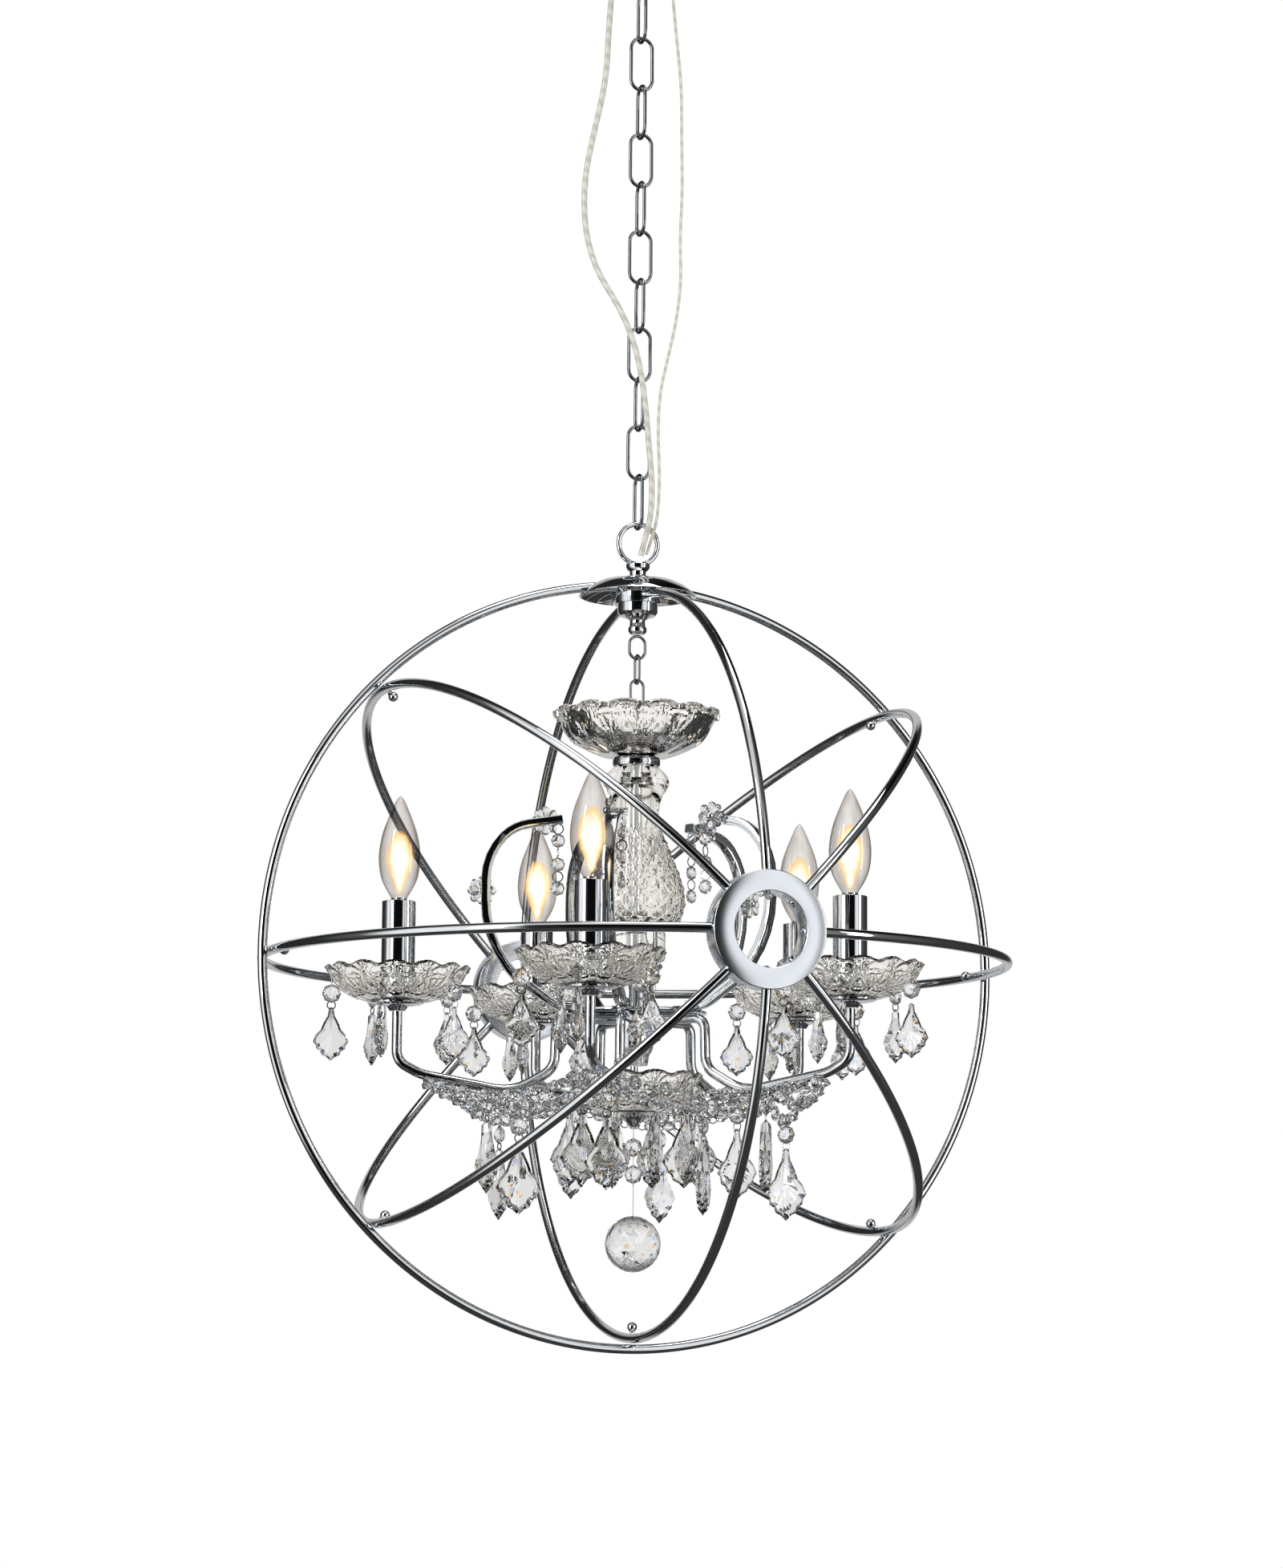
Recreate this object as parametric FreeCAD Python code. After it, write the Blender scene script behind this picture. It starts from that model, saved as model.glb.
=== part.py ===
import FreeCAD, Part
import math
import os
from FreeCAD import Vector

# Orb chandelier: a cage of chrome hoops hung on a chain, with a five-light crystal cluster inside.
# Millimetres. Z is up and the origin is the middle of the ceiling face. Everything is first laid
# out from the middle of the orb and then lowered by orb_drop. The two ring hubs lie along Y.

# ---- Cage ----
orb_size = 610.0             # over the outer ring's tube
hoop_tube = 7.5
hoop_sides = 8               # flats round a hoop's tube
hoop_chords = 40             # straight runs in a full turn of hoop
crossing_gap = 0.8           # thickness of the washer between outer ring and hoops
hub_outer = 87.0
hub_bore = 56.0
hub_depth = 20.0
hub_sides = 32
ball_nut = 7.7
ball_nut_neck = 4.0
ball_nut_stand = 1.0         # from the hoop's tube to the ball
hub_screw_head = 6.0
hub_screw_rise = 1.8
cap_size = 94.0
cap_drop = 13.0
cap_wall = 1.4
block_size = 36.0
block_drop = 18.0            # from the top of the orb down to the block's floor
cup_size = 32.0
cup_drop = 27.5              # and to the cup's floor
neck_size = 12.0
neck_drop = 42.0             # and to the neck's end

# ---- Chain, loops and ceiling fitting ----
link_length = 46.4
link_width = 21.0
link_wire = 2.8
link_count = 11
link_sides = 6
loop_outer = 36.6
loop_wire = 3.9
loop_sink = 3.0              # depth of the loop's ring in its collar
collar_top = 19.0
collar_waist = 13.0
collar_height = 14.0
hang_gap = 0.5               # running gap where one loop or link hangs in another
seat_gap = 0.3               # gap between pieces that only rest on each other
canopy_size = 130.0
canopy_depth = 28.0
canopy_wall = 1.4
canopy_sides = 20
cord_hole = 5.6
wire_hole = 3.4
cord_hole_offset = 24.0
strap_length = 108.0
strap_width = 22.0
strap_thickness = 2.5
strap_hole_spacing = 88.9
strap_hole_size = 5.0
nipple_size = 9.5
canopy_nut = 9.0
canopy_nut_spacing = 76.0
canopy_nut_seat = 3.1        # the canopy's skin there, above its lowest face

# ---- Cords ----
power_cord = 4.6
ground_wire = 2.4
cord_sides = 6

# ---- Inner chain and column ----
hook_wire = 2.4
hook_share = 0.255           # the hook's height, as a share of the height from neck to tube
inner_link_wire = 2.2
inner_link_share = 0.311     # an inner link's length, as a share of the same height
bail_wire = 2.0
tube_size = 10.0
tube_top = 182.6             # the tube's closed nut, which the bail is fixed to
tube_wall = 1.2
slide_fit = 0.4              # radial gap of the glass pieces on the tube
turned_sides = 16
small_sides = 8              # flats round the five lights' small turned pieces
corner_runs = 3              # straight runs round each bend of an arm or scroll
top_dish_size = 128.0
top_dish_rim = 202.0
top_dish_floor = 165.0
top_dish_flutes = 14
seat_ring_size = 38.0
column_top = 155.0
column_floor = 29.0
collar_glass_size = 48.0
collar_glass_floor = 1.0
arm_hub_floor = -81.0
arm_hub_size = 30.0
arm_plate_size = 114.0
arm_plate_top = -38.0
arm_plate_thickness = 2.4
lower_dish_size = 106.0
lower_dish_rim = -86.0
lower_dish_floor = -118.0
lower_dish_flutes = 10
rod_size = 6.0
finial_size = 22.0
glass_wall = 4.0
scallop = 4.0                # rise of each scallop of a dish's rim
flute_depth = 3.0

# ---- Arms and lights ----
arm_count = 5
first_arm_angle = -101.2     # degrees from the front hub, anticlockwise seen from above
arm_reach = 187.0
arm_tube = 8.0
arm_turn = 62.0              # reach at which an arm leaves its level run and drops
arm_low = -103.0             # lowest corner of an arm's centre line
arm_bow = 34.0               # from the drop out to that corner
arm_elbow = 19.0             # from the outer corner of the low run to the cup's axis
scroll_width = 9.0
scroll_thickness = 3.0
scroll_side = 121.0          # reach of a scroll's outer side
scroll_top = 114.0
scroll_tip = 59.0            # reach of a scroll's tip
cup_saucer = 42.0
cup_base_size = 15.0
cup_floor_z = -41.0
cup_top_z = -34.0
bobeche_size = 111.0
bobeche_rim = -5.0
bobeche_flutes = 10
sleeve_size = 26.6
sleeve_wall = 1.0
sleeve_top = 45.0
lampholder_size = 23.0
bulb_size = 32.6
bulb_tip = 128.5
bulb_base_size = 11.9
bulb_base_length = 23.0
bulb_fit = 0.5

# ---- Crystals ----
bead_size = 15.0
bead_thickness = 8.0
small_bead_size = 11.5
small_bead_thickness = 7.0
small_drop = (28.0, 42.0, 8.0)      # width, length, thickness
large_drop = (35.0, 57.0, 10.0)
wire_size = 1.1
crystal_gap = 0.3
ball_size = 44.0
ball_middle = -220.0
rosette_size = 22.0
rosette_petal_count = 6
lower_pendant_count = 10
swag_bead_count = 12
swag_sag = 24.0
swag_reach = 150.0

# ---- Sizes that follow ----
outer_radius = (orb_size - hoop_tube) / 2
hoop_radius = outer_radius - hoop_tube - crossing_gap
block_floor = orb_size / 2 - block_drop
cup_floor = orb_size / 2 - cup_drop
neck_floor = orb_size / 2 - neck_drop
hung_height = neck_floor - tube_top     # shared by the hook, the two inner links and the bail
hook_height = hung_height * hook_share
hook_width = hook_height * 0.76
inner_link_length = hung_height * inner_link_share
inner_link_width = inner_link_length * 0.52
bail_width = inner_link_width
cap_top = orb_size / 2 + seat_gap + cap_wall
collar_base = cap_top + seat_gap
loop_radius = (loop_outer - loop_wire) / 2
loop_middle = collar_base + collar_height - loop_sink + loop_outer / 2
hang_step = (loop_wire + link_wire) / 2 + hang_gap
link_span = link_length - link_wire
link_pitch = link_span - link_wire - hang_gap
chain_low = loop_middle + loop_radius - hang_step
chain_high = chain_low + link_span + (link_count - 1) * link_pitch
canopy_loop_middle = chain_high - hang_step + loop_radius
canopy_low = canopy_loop_middle + loop_outer / 2 - loop_sink + collar_height + seat_gap
orb_drop = canopy_low + canopy_depth + seat_gap
arm_axis_z = arm_plate_top - arm_plate_thickness - seat_gap - arm_tube / 2
tube_bore = tube_size + 2 * slide_fit
arm_angles = [first_arm_angle + 360.0 / arm_count * i for i in range(arm_count)]


# ---- Points and places ----
def heading(angle):
    """Level direction at an angle from the front hub, which is at -Y."""
    turn = math.radians(angle)
    return Vector(math.sin(turn), -math.cos(turn), 0)


def spot(angle, reach, z):
    return heading(angle) * reach + Vector(0, 0, z)


def polygon(sides, radius, z, half_step=False):
    shift = 0.5 if half_step else 0.0
    step = 2 * math.pi / sides
    return [Vector(radius * math.cos((i + shift) * step), radius * math.sin((i + shift) * step), z)
            for i in range(sides)]


def arc_points(centre, radius, start, end, steps):
    """Points (across, up) on a round stretch, with angles in degrees."""
    turns = [math.radians(start + (end - start) * i / steps) for i in range(steps + 1)]
    return [(centre[0] + radius * math.cos(a), centre[1] + radius * math.sin(a)) for a in turns]


def rounded(points, radii):
    """A path in a plane whose inner corners are rounded, each by a few short runs."""
    path = [points[0]]
    for i, radius in enumerate(radii):
        before, corner, after = [Vector(p[0], p[1], 0) for p in points[i:i + 3]]
        to_before = (before - corner).normalize()
        to_after = (after - corner).normalize()
        half = to_before.getAngle(to_after) / 2
        bisector = (to_before + to_after).normalize()
        centre = corner + bisector * (radius / math.sin(half))
        first = corner + to_before * (radius / math.tan(half)) - centre
        last = corner + to_after * (radius / math.tan(half)) - centre
        sweep = math.atan2(first.x * last.y - first.y * last.x, first.dot(last))
        for step in range(corner_runs + 1):
            turn = FreeCAD.Rotation(Vector(0, 0, 1), math.degrees(sweep * step / corner_runs))
            place = centre + turn.multVec(first)
            path.append((place.x, place.y))
    return path + [points[-1]]


# ---- Solids from rings of points ----
def flat_face(points):
    return Part.Face(Part.makePolygon(points + [points[0]]))


def is_flat(points):
    normal = (points[1] - points[0]).cross(points[2] - points[0])
    return abs(normal.normalize().dot(points[3] - points[0])) < 1e-7


def band(low, high):
    """Flat faces between two rings of points. A ring of one point is a tip."""
    if len(low) == 1 or len(high) == 1:
        tip, ring = (low[0], high) if len(low) == 1 else (high[0], low)
        return [flat_face([ring[i - 1], ring[i], tip]) for i in range(len(ring))]
    faces = []
    for i in range(len(low)):
        quad = [low[i - 1], low[i], high[i], high[i - 1]]
        if is_flat(quad):
            faces.append(flat_face(quad))
        else:
            faces += [flat_face(quad[:3]), flat_face([quad[0], quad[2], quad[3]])]
    return faces


def skin(rings, closed=False):
    """A solid bounded by flat faces over rings of points, as cut glass and wire bends are."""
    faces = []
    for i in range(0 if closed else 1, len(rings)):
        faces += band(rings[i - 1], rings[i])
    if not closed:
        faces += [flat_face(ring) for ring in (rings[0], rings[-1]) if len(ring) > 1]
    solid = Part.Solid(Part.Shell(faces))
    if solid.Volume < 0:
        solid.reverse()
    return solid


def turned(profile, sides=turned_sides, half_step=False):
    """A solid turned piece, from (radius, height) pairs from one end to the other."""
    rings = [polygon(sides, r, z, half_step) if r > 0 else [Vector(0, 0, z)] for r, z in profile]
    return skin(rings)


def hollow_turned(profile, sides=turned_sides, half_step=False):
    """A turned piece with a hole through it: its profile runs once round the wall."""
    return skin([polygon(sides, r, z, half_step) for r, z in profile], closed=True)


def wire(path, size, sides, closed=False, plane=Vector(0, 1, 0)):
    """A wire along points in one plane, mitred at each point."""
    rings = []
    count = len(path)
    for i, place in enumerate(path):
        back = path[i - 1] if closed or i > 0 else None
        ahead = path[(i + 1) % count] if closed or i < count - 1 else None
        run_in = (place - back).normalize() if back else (ahead - place).normalize()
        run_out = (ahead - place).normalize() if ahead else run_in
        along = (run_in + run_out).normalize()
        across = plane.cross(along) * (1.0 / run_in.dot(along))
        rings.append([place + (across * math.cos(a) + plane * math.sin(a)) * (size / 2)
                      for a in [2 * math.pi * (k + 0.5) / sides for k in range(sides)]])
    return skin(rings, closed)


def strip(path, width, thickness, plane):
    """A flat bar bent along points in one plane, its width square to that plane."""
    rings = []
    for i, place in enumerate(path):
        run_in = (place - path[max(i - 1, 0)]) if i else (path[1] - place)
        run_out = (path[min(i + 1, len(path) - 1)] - place) if i < len(path) - 1 else run_in
        along = (run_in.normalize() + run_out.normalize()).normalize()
        across = plane.cross(along) * (thickness / 2 / run_in.dot(along))
        side = plane * (width / 2)
        rings.append([place + across + side, place + across - side,
                      place - across - side, place - across + side])
    return skin(rings)


def link(length, width, size, sides, top, plane):
    """An oval link that hangs from its top wire's centre, lying in the plane across 'plane'."""
    bend = (width - size) / 2
    span = length - size
    side = plane.cross(Vector(0, 0, 1))
    outline = arc_points((0, -bend), bend, 0, 180, 4) + arc_points((0, bend - span), bend, 180, 360, 4)
    path = [top + side * across + Vector(0, 0, up) for across, up in outline]
    return wire(path, size, sides, True, plane)


def round_loop(radius, size, sides, middle, plane, chords=16):
    side = plane.cross(Vector(0, 0, 1))
    path = [Vector(0, 0, middle) + side * across + Vector(0, 0, up)
            for across, up in arc_points((0, 0), radius, 0, 360, chords)[:-1]]
    return wire(path, size, sides, True, plane)


def moved(shape, angle=0.0, place=Vector(0, 0, 0)):
    copy = shape.copy()
    copy.rotate(Vector(0, 0, 0), Vector(0, 0, 1), angle)
    copy.translate(place)
    return copy


def drilled(shape, size, low, high, place=Vector(0, 0, 0)):
    hole = turned([(size / 2, low), (size / 2, high)], 12)
    return shape.cut(moved(hole, 0, place))


def save(name, solids):
    """Write one named piece, lowered so that the ceiling face is at zero."""
    shape = solids[0] if len(solids) == 1 else Part.makeCompound(solids)
    shape = shape.copy()
    shape.translate(Vector(0, 0, -orb_drop))
    shape.exportStep("parts/" + name + ".step")
    print(name, len(shape.Solids), "solids,", round(shape.Volume / 1000, 2), "cm3")


# ---- Cage ----
def hoop_path(tilt, start, end):
    """Points of a great circle through both hubs. Tilt 0 is the level one, and angles are from -Y."""
    side = Vector(math.cos(math.radians(tilt)), 0, math.sin(math.radians(tilt)))
    chords = max(2, round(hoop_chords * (end - start) / 360.0))
    path = []
    for i in range(chords + 1):
        turn = math.radians(start + (end - start) * i / chords)
        path.append((side * math.sin(turn) - Vector(0, 1, 0) * math.cos(turn)) * hoop_radius)
    return path, side.cross(Vector(0, 1, 0))


def trimmed_end(rings, last, before, origin, normal):
    """Slide the last ring of a tube along its run until it lies in a plane."""
    run = (last - before).normalize()
    return [p + run * ((origin - p).dot(normal) / run.dot(normal)) for p in rings]


def hoop(tilt, start, end, start_plane, end_plane):
    """A length of hoop whose two ends are cut flat against what they are fixed to."""
    path, plane = hoop_path(tilt, start, end)
    rings = []
    for i, place in enumerate(path):
        turn = math.radians(start + (end - start) * i / (len(path) - 1))
        out = place * (1.0 / hoop_radius)
        grow = 1.0 / math.cos(math.radians((end - start) / (len(path) - 1) / 2))
        ring = [place + (out * math.cos(a) * grow + plane * math.sin(a)) * (hoop_tube / 2)
                for a in [2 * math.pi * (k + 0.5) / hoop_sides for k in range(hoop_sides)]]
        rings.append(ring)
    rings[0] = trimmed_end(rings[0], path[0], path[1], *start_plane)
    rings[-1] = trimmed_end(rings[-1], path[-1], path[-2], *end_plane)
    return skin(rings)


def hub_angle():
    return math.degrees(math.asin(hub_outer / 2 / hoop_radius))


def hub_place():
    return hoop_radius * math.cos(math.radians(hub_angle()))


def half_hoop(tilt):
    """From the front hub's rim to the back hub's rim."""
    side = Vector(math.cos(math.radians(tilt)), 0, math.sin(math.radians(tilt)))
    rim = side * (hub_flat())
    return hoop(tilt, hub_angle(), 180 - hub_angle(), (rim, side), (rim, side))


def hub_flat():
    """Distance from a hub's middle to the flats of its rim."""
    return hub_outer / 2 * math.cos(math.pi / hub_sides)


def upper_hoops():
    """The vertical hoop's upper half, in two pieces that end on the top block's flats."""
    up = Vector(0, 0, 1)
    side = Vector(0, 1, 0)
    flat = block_flat()
    reach = math.degrees(math.asin(flat / hoop_radius))
    front = hoop(90, hub_angle(), 90 - reach, (up * hub_flat(), up), (side * -flat, side))
    back = hoop(90, 90 + reach, 180 - hub_angle(), (side * flat, side), (up * hub_flat(), up))
    return [front, back]


def block_flat():
    return block_size / 2 * math.cos(math.pi / 16)


def outer_ring():
    """The outer ring in the XZ plane, open at the top where its ends meet the block."""
    gap = math.degrees(math.asin(block_flat() / outer_radius))
    turns = [90 + gap + (360 - 2 * gap) * i / hoop_chords for i in range(hoop_chords + 1)]
    grow = 1.0 / math.cos(math.radians((360 - 2 * gap) / hoop_chords / 2))
    path = [Vector(math.cos(math.radians(t)), 0, math.sin(math.radians(t))) for t in turns]
    rings = [[out * outer_radius + (out * math.cos(a) * grow + Vector(0, math.sin(a), 0)) * (hoop_tube / 2)
              for a in [2 * math.pi * (k + 0.5) / hoop_sides for k in range(hoop_sides)]] for out in path]
    side = Vector(1, 0, 0)
    rings[0] = trimmed_end(rings[0], path[0], path[1], side * -block_flat(), side)
    rings[-1] = trimmed_end(rings[-1], path[-1], path[-2], side * block_flat(), side)
    return skin(rings)


def ring_hub(direction):
    """A flat annulus whose axis is Y, with its rim's flats facing the hoops."""
    wall = [(hub_bore / 2, -hub_depth / 2), (hub_outer / 2, -hub_depth / 2),
            (hub_outer / 2, hub_depth / 2), (hub_bore / 2, hub_depth / 2)]
    hub = hollow_turned(wall, hub_sides, True)
    hub.rotate(Vector(0, 0, 0), Vector(1, 0, 0), 90)
    hub.translate(Vector(0, direction * hub_place(), 0))
    return hub


def fasteners():
    """Ball nuts at the hoops' crossings, and screw heads inside the hubs' bores."""
    seat = hoop_radius - hoop_tube / 2 - seat_gap
    middle = seat - ball_nut_stand - ball_nut / 2
    radius = ball_nut / 2
    profile = [(0, middle - radius)]
    profile += [(radius * math.cos(math.radians(a)), middle + radius * math.sin(math.radians(a)))
                for a in (-40, 5)]
    profile += [(ball_nut_neck / 2, middle + radius), (ball_nut_neck / 2, seat)]
    nut = turned(profile, 6)
    solids = []
    for tilt in (45, 90, 135, 180, 225, 270, 315):
        copy = nut.copy()
        copy.rotate(Vector(0, 0, 0), Vector(0, 1, 0), tilt)
        solids.append(copy)
    bore_flat = hub_bore / 2 * math.cos(math.pi / hub_sides)
    head = turned([(hub_screw_head / 2, bore_flat - seat_gap),
                   (hub_screw_head / 3, bore_flat - seat_gap - hub_screw_rise)], 6)
    for direction in (-1, 1):
        for tilt in range(0, 360, 45):
            copy = head.copy()
            copy.rotate(Vector(0, 0, 0), Vector(0, 1, 0), tilt)
            copy.translate(Vector(0, direction * hub_place(), 0))
            solids.append(copy)
    return solids


def top_block():
    """The turned block that holds the hoops' upper ends, with the cup and neck below it."""
    top = outer_radius + hoop_tube / 2
    profile = [(neck_size / 2, neck_floor), (neck_size / 2 + 1.5, neck_floor + 4),
               (neck_size / 2, cup_floor - 3), (cup_size / 2 - 5, cup_floor),
               (cup_size / 2, cup_floor + 3), (cup_size / 2, block_floor),
               (block_size / 2, block_floor + 1), (block_size / 2, top)]
    return turned(profile, 16, True)


def cage_cap():
    """A shallow dome over the block, notched at its rim for the outer ring."""
    rim = cap_top - cap_drop
    half = cap_size / 2
    over_block = block_size / 2 + 1
    outside = [(neck_size / 2, cap_top), (over_block, cap_top), (half * 0.8, cap_top - cap_drop * 0.4),
               (half, rim + 1.5), (half, rim)]
    inside = [(half - cap_wall, rim), (half * 0.8 - cap_wall, cap_top - cap_drop * 0.4 - cap_wall),
              (over_block, cap_top - cap_wall), (neck_size / 2, cap_top - cap_wall)]
    cap = hollow_turned(outside + inside, 20)
    notch_width = hoop_tube + 2 * seat_gap
    start = over_block - 0.5
    for direction in (-1, 1):
        corner = Vector(start if direction > 0 else -half - 1, -notch_width / 2, rim - 1)
        tall = outer_radius + hoop_tube / 2 - rim + 1 + seat_gap
        cap = cap.cut(Part.makeBox(half + 1 - start, notch_width, tall, corner))
    return cap


def hanging_loop(middle, up):
    """A round loop sunk in a turned collar. Up is +1 where the loop stands above the collar."""
    base = middle - up * (loop_outer / 2 - loop_sink + collar_height)
    levels = [(collar_waist / 2 + 1.5, 0), (collar_waist / 2, 3), (collar_waist / 2, 7),
              (collar_top / 2, 10), (collar_top / 2, collar_height - 1), (collar_top / 2 - 1.5, collar_height)]
    collar = turned([(r, base + up * h) for r, h in levels], 12)
    ring = round_loop(loop_radius, loop_wire, 6, middle, Vector(0, 1, 0))
    return collar.fuse(ring)


def cluster_hook():
    """The small loop under the neck that the inner chain hangs in."""
    top = Vector(0, 0, neck_floor - seat_gap - hook_wire / 2)
    return link(hook_height, hook_width, hook_wire, link_sides, top, Vector(0, 1, 0))


def chain_links():
    """Every other link faces the front. The lowest one is kept apart, because it swings by itself."""
    solids = []
    for i in range(link_count):
        top = Vector(0, 0, chain_high - i * link_pitch)
        plane = Vector(1, 0, 0) if i % 2 == 0 else Vector(0, 1, 0)
        solids.append(link(link_length, link_width, link_wire, link_sides, top, plane))
    return solids[:-1], solids[-1]


# ---- Ceiling fitting ----
def ceiling_strap():
    """The bar screwed to the ceiling box, and the threaded nipple that carries everything."""
    bar = Part.makeBox(strap_length, strap_width, strap_thickness,
                       Vector(-strap_length / 2, -strap_width / 2, orb_drop - strap_thickness))
    for side in (-1, 1):
        place = Vector(side * strap_hole_spacing / 2, 0, orb_drop - strap_thickness - 1)
        bar = bar.cut(Part.makeCylinder(strap_hole_size / 2, strap_thickness + 2, place))
    low = canopy_low + canopy_wall
    nipple = turned([(nipple_size / 2, low + seat_gap), (nipple_size / 2, orb_drop - strap_thickness)], 12)
    return bar.fuse(nipple)


def canopy():
    """The dome under the ceiling, with a hole for each cord."""
    half = canopy_size / 2
    rim = canopy_low + canopy_depth
    steps = [(1.0, 1.0), (0.94, 0.62), (0.66, 0.2), (0.3, 0.0)]
    outside = [(half * r, canopy_low + canopy_depth * h) for r, h in steps]
    inside = [(half * r - canopy_wall, canopy_low + canopy_wall + (canopy_depth - canopy_wall) * h)
              for r, h in reversed(steps)]
    wall = [(0, canopy_low)] + outside[::-1] + inside[::-1] + [(0, canopy_low + canopy_wall)]
    dome = turned(wall, canopy_sides)
    for side, size in ((-1, cord_hole), (1, wire_hole)):
        dome = drilled(dome, size, canopy_low - 1, rim, Vector(side * cord_hole_offset, 0, 0))
    return dome


def canopy_nuts():
    """Two ball nuts that hold the canopy up against the ceiling."""
    radius = canopy_nut / 2
    place = canopy_nut_spacing / 2
    solids = []
    for side in (-1, 1):
        top = canopy_low + canopy_nut_seat
        profile = [(0, top - 1.7 * radius), (radius * 0.75, top - 1.4 * radius), (radius, top - 0.7 * radius),
                   (radius * 0.75, top)]
        solids.append(moved(turned(profile, small_sides), 0, Vector(0, side * place, 0)))
    return solids


# ---- Cords ----
# Points of each cord, from just under its canopy hole to the cage's collar, with heights above
# the collar's foot.
# The cords swing with the chain, so both ends keep clear of the canopy and of the cage's loop.
power_points = [(-24, 0, 530.6), (-25, 0, 499), (-27, 4, 457), (-28, 7, 411), (-37, 13, 365),
                (-43, 15, 331), (-43, 15, 295), (-38, 13, 268), (-31, 6, 246), (-21, -3, 225),
                (-12, -9, 203), (-5, -13, 177), (0, -15, 143), (3, -16, 107), (6, -17, 73),
                (5, -15.5, 47), (2, -9.5, 30), (0, -7, 18.5)]
ground_points = [(24, 0, 530.6), (25, -1, 499), (28, -4, 455), (31, -10, 409), (31, -11, 363),
                 (32, -11, 321), (30, -11, 281), (31, -12, 245), (27, -13, 213), (19, -16, 181),
                 (11, -19, 151), (9, -20, 117), (11, -20, 81), (11, -16, 49), (8, -9, 31),
                 (5, -6, 20)]


def cord(name, route, size):
    """A tube of straight runs joined by tangent arcs, each as large as its two runs allow."""
    points = [Vector(x, y, collar_base + z) for x, y, z in route]
    edges = []
    radii = []
    start = points[0]
    section = cord_section(points[0], points[1] - points[0], size)
    area = flat_face(section).Area
    faces = [flat_face(section)]
    for i in range(1, len(points) - 1):
        run_in = points[i] - points[i - 1]
        run_out = points[i + 1] - points[i]
        cut = 0.45 * min(run_in.Length, run_out.Length)
        turn = run_in.getAngle(run_out)
        radius = cut / math.tan(turn / 2)
        first = points[i] - Vector(run_in).normalize() * cut
        last = points[i] + Vector(run_out).normalize() * cut
        inward = ((first + last) * 0.5 - points[i]).normalize()
        centre = points[i] + inward * (radius / math.cos(turn / 2))
        middle = centre - inward * radius
        axis = run_in.cross(run_out).normalize()
        radii.append(radius)
        edges += [Part.LineSegment(start, first).toShape(), Part.Arc(first, middle, last).toShape()]
        faces += swept_flats(section, first - start)
        section = [p + first - start for p in section]
        faces += turned_flats(section, centre, axis, math.degrees(turn))
        spin = FreeCAD.Rotation(axis, math.degrees(turn))
        section = [centre + spin.multVec(p - centre) for p in section]
        start = last
    faces += swept_flats(section, points[-1] - start)
    faces.append(flat_face([p + points[-1] - start for p in section]))
    line = Part.Wire(edges + [Part.LineSegment(start, points[-1]).toShape()])
    tube = Part.Solid(Part.Shell(faces))
    print(name, "length", round(line.Length), "volume share", round(abs(tube.Volume) / area / line.Length, 4),
          "radii", [round(r) for r in radii])
    return tube


def cord_section(place, along, size):
    """Corners of a cord's section, square to where the cord starts out."""
    along = Vector(along).normalize()
    side = along.cross(Vector(0, 1, 0)).normalize()
    up = side.cross(along)
    return [place + (side * math.cos(a) + up * math.sin(a)) * (size / 2)
            for a in [2 * math.pi * k / cord_sides for k in range(cord_sides)]]


def swept_flats(section, run):
    """The sides of a straight run of cord."""
    return [flat_face([section[i - 1], section[i], section[i] + run, section[i - 1] + run])
            for i in range(len(section))]


def turned_flats(section, centre, axis, angle):
    """The sides of a bend of cord."""
    return [Part.LineSegment(section[i - 1], section[i]).toShape().revolve(centre, axis, angle)
            for i in range(len(section))]


# ---- Column ----
def fluted(rim_radius, rim, floor, floor_radius, hole, flutes):
    """A cut-glass dish: a fluted wall that ends in a scalloped rim, with a hole in its floor."""
    count = flutes * 2

    def level(radius, z, swell, rise):
        ring = []
        for i in range(count):
            lift = 1.0 if i % 2 == 0 else 0.0
            ring.append(spot(360.0 * i / count, radius + swell * lift, z + rise * lift))
        return ring

    belly, belly_z = dish_belly(rim_radius, rim, floor, floor_radius)
    low = rim - scallop
    outside = [level(hole / 2, floor, 0, 0), level(floor_radius, floor, 0, 0),
               level(belly - flute_depth, belly_z, flute_depth, 0),
               level(rim_radius - flute_depth, low, flute_depth, scallop)]
    inside = [level(rim_radius - flute_depth - glass_wall * 0.7, low + 0.6, flute_depth, scallop),
              level(belly - flute_depth - glass_wall, belly_z + glass_wall * 0.6, flute_depth, 0),
              level(floor_radius - 1.0, floor + glass_wall, 0, 0), level(hole / 2, floor + glass_wall, 0, 0)]
    return skin(outside + inside, closed=True)


def dish_belly(rim_radius, rim, floor, floor_radius):
    """Radius and height of the bend in a dish's wall, on the crest of a flute."""
    return floor_radius + (rim_radius - floor_radius) * 0.66, floor + (rim - floor) * 0.34


def under_rim(rim_radius, rim, floor, floor_radius, inset):
    """Reach and height of a point on a dish's underside, a little in from a scallop's tip."""
    belly, belly_z = dish_belly(rim_radius, rim, floor, floor_radius)
    share = inset / (rim_radius - belly)
    return rim_radius - inset, rim - (rim - belly_z) * share


def bail():
    """The triangular wire that the column hangs by, fixed to its top nut."""
    top = Vector(0, 0, inner_chain_low() + bail_step())
    foot = tube_top + seat_gap + bail_wire / 2
    half = bail_width / 2 - bail_wire / 2
    path = [Vector(0, 2.3, top.z), Vector(0, half, foot + 3), Vector(0, half - 1.5, foot),
            Vector(0, -half + 1.5, foot), Vector(0, -half, foot + 3), Vector(0, -2.3, top.z)]
    return wire(path, bail_wire, 6, True, Vector(1, 0, 0))


def bail_step():
    return (inner_link_wire + bail_wire) / 2 + hang_gap


def inner_chain_top():
    """Height of the upper inner link's top wire, which lies on the hook's lower bend."""
    hook_low = neck_floor - seat_gap - hook_height + hook_wire / 2
    return hook_low + (hook_wire + inner_link_wire) / 2 + hang_gap


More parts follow.
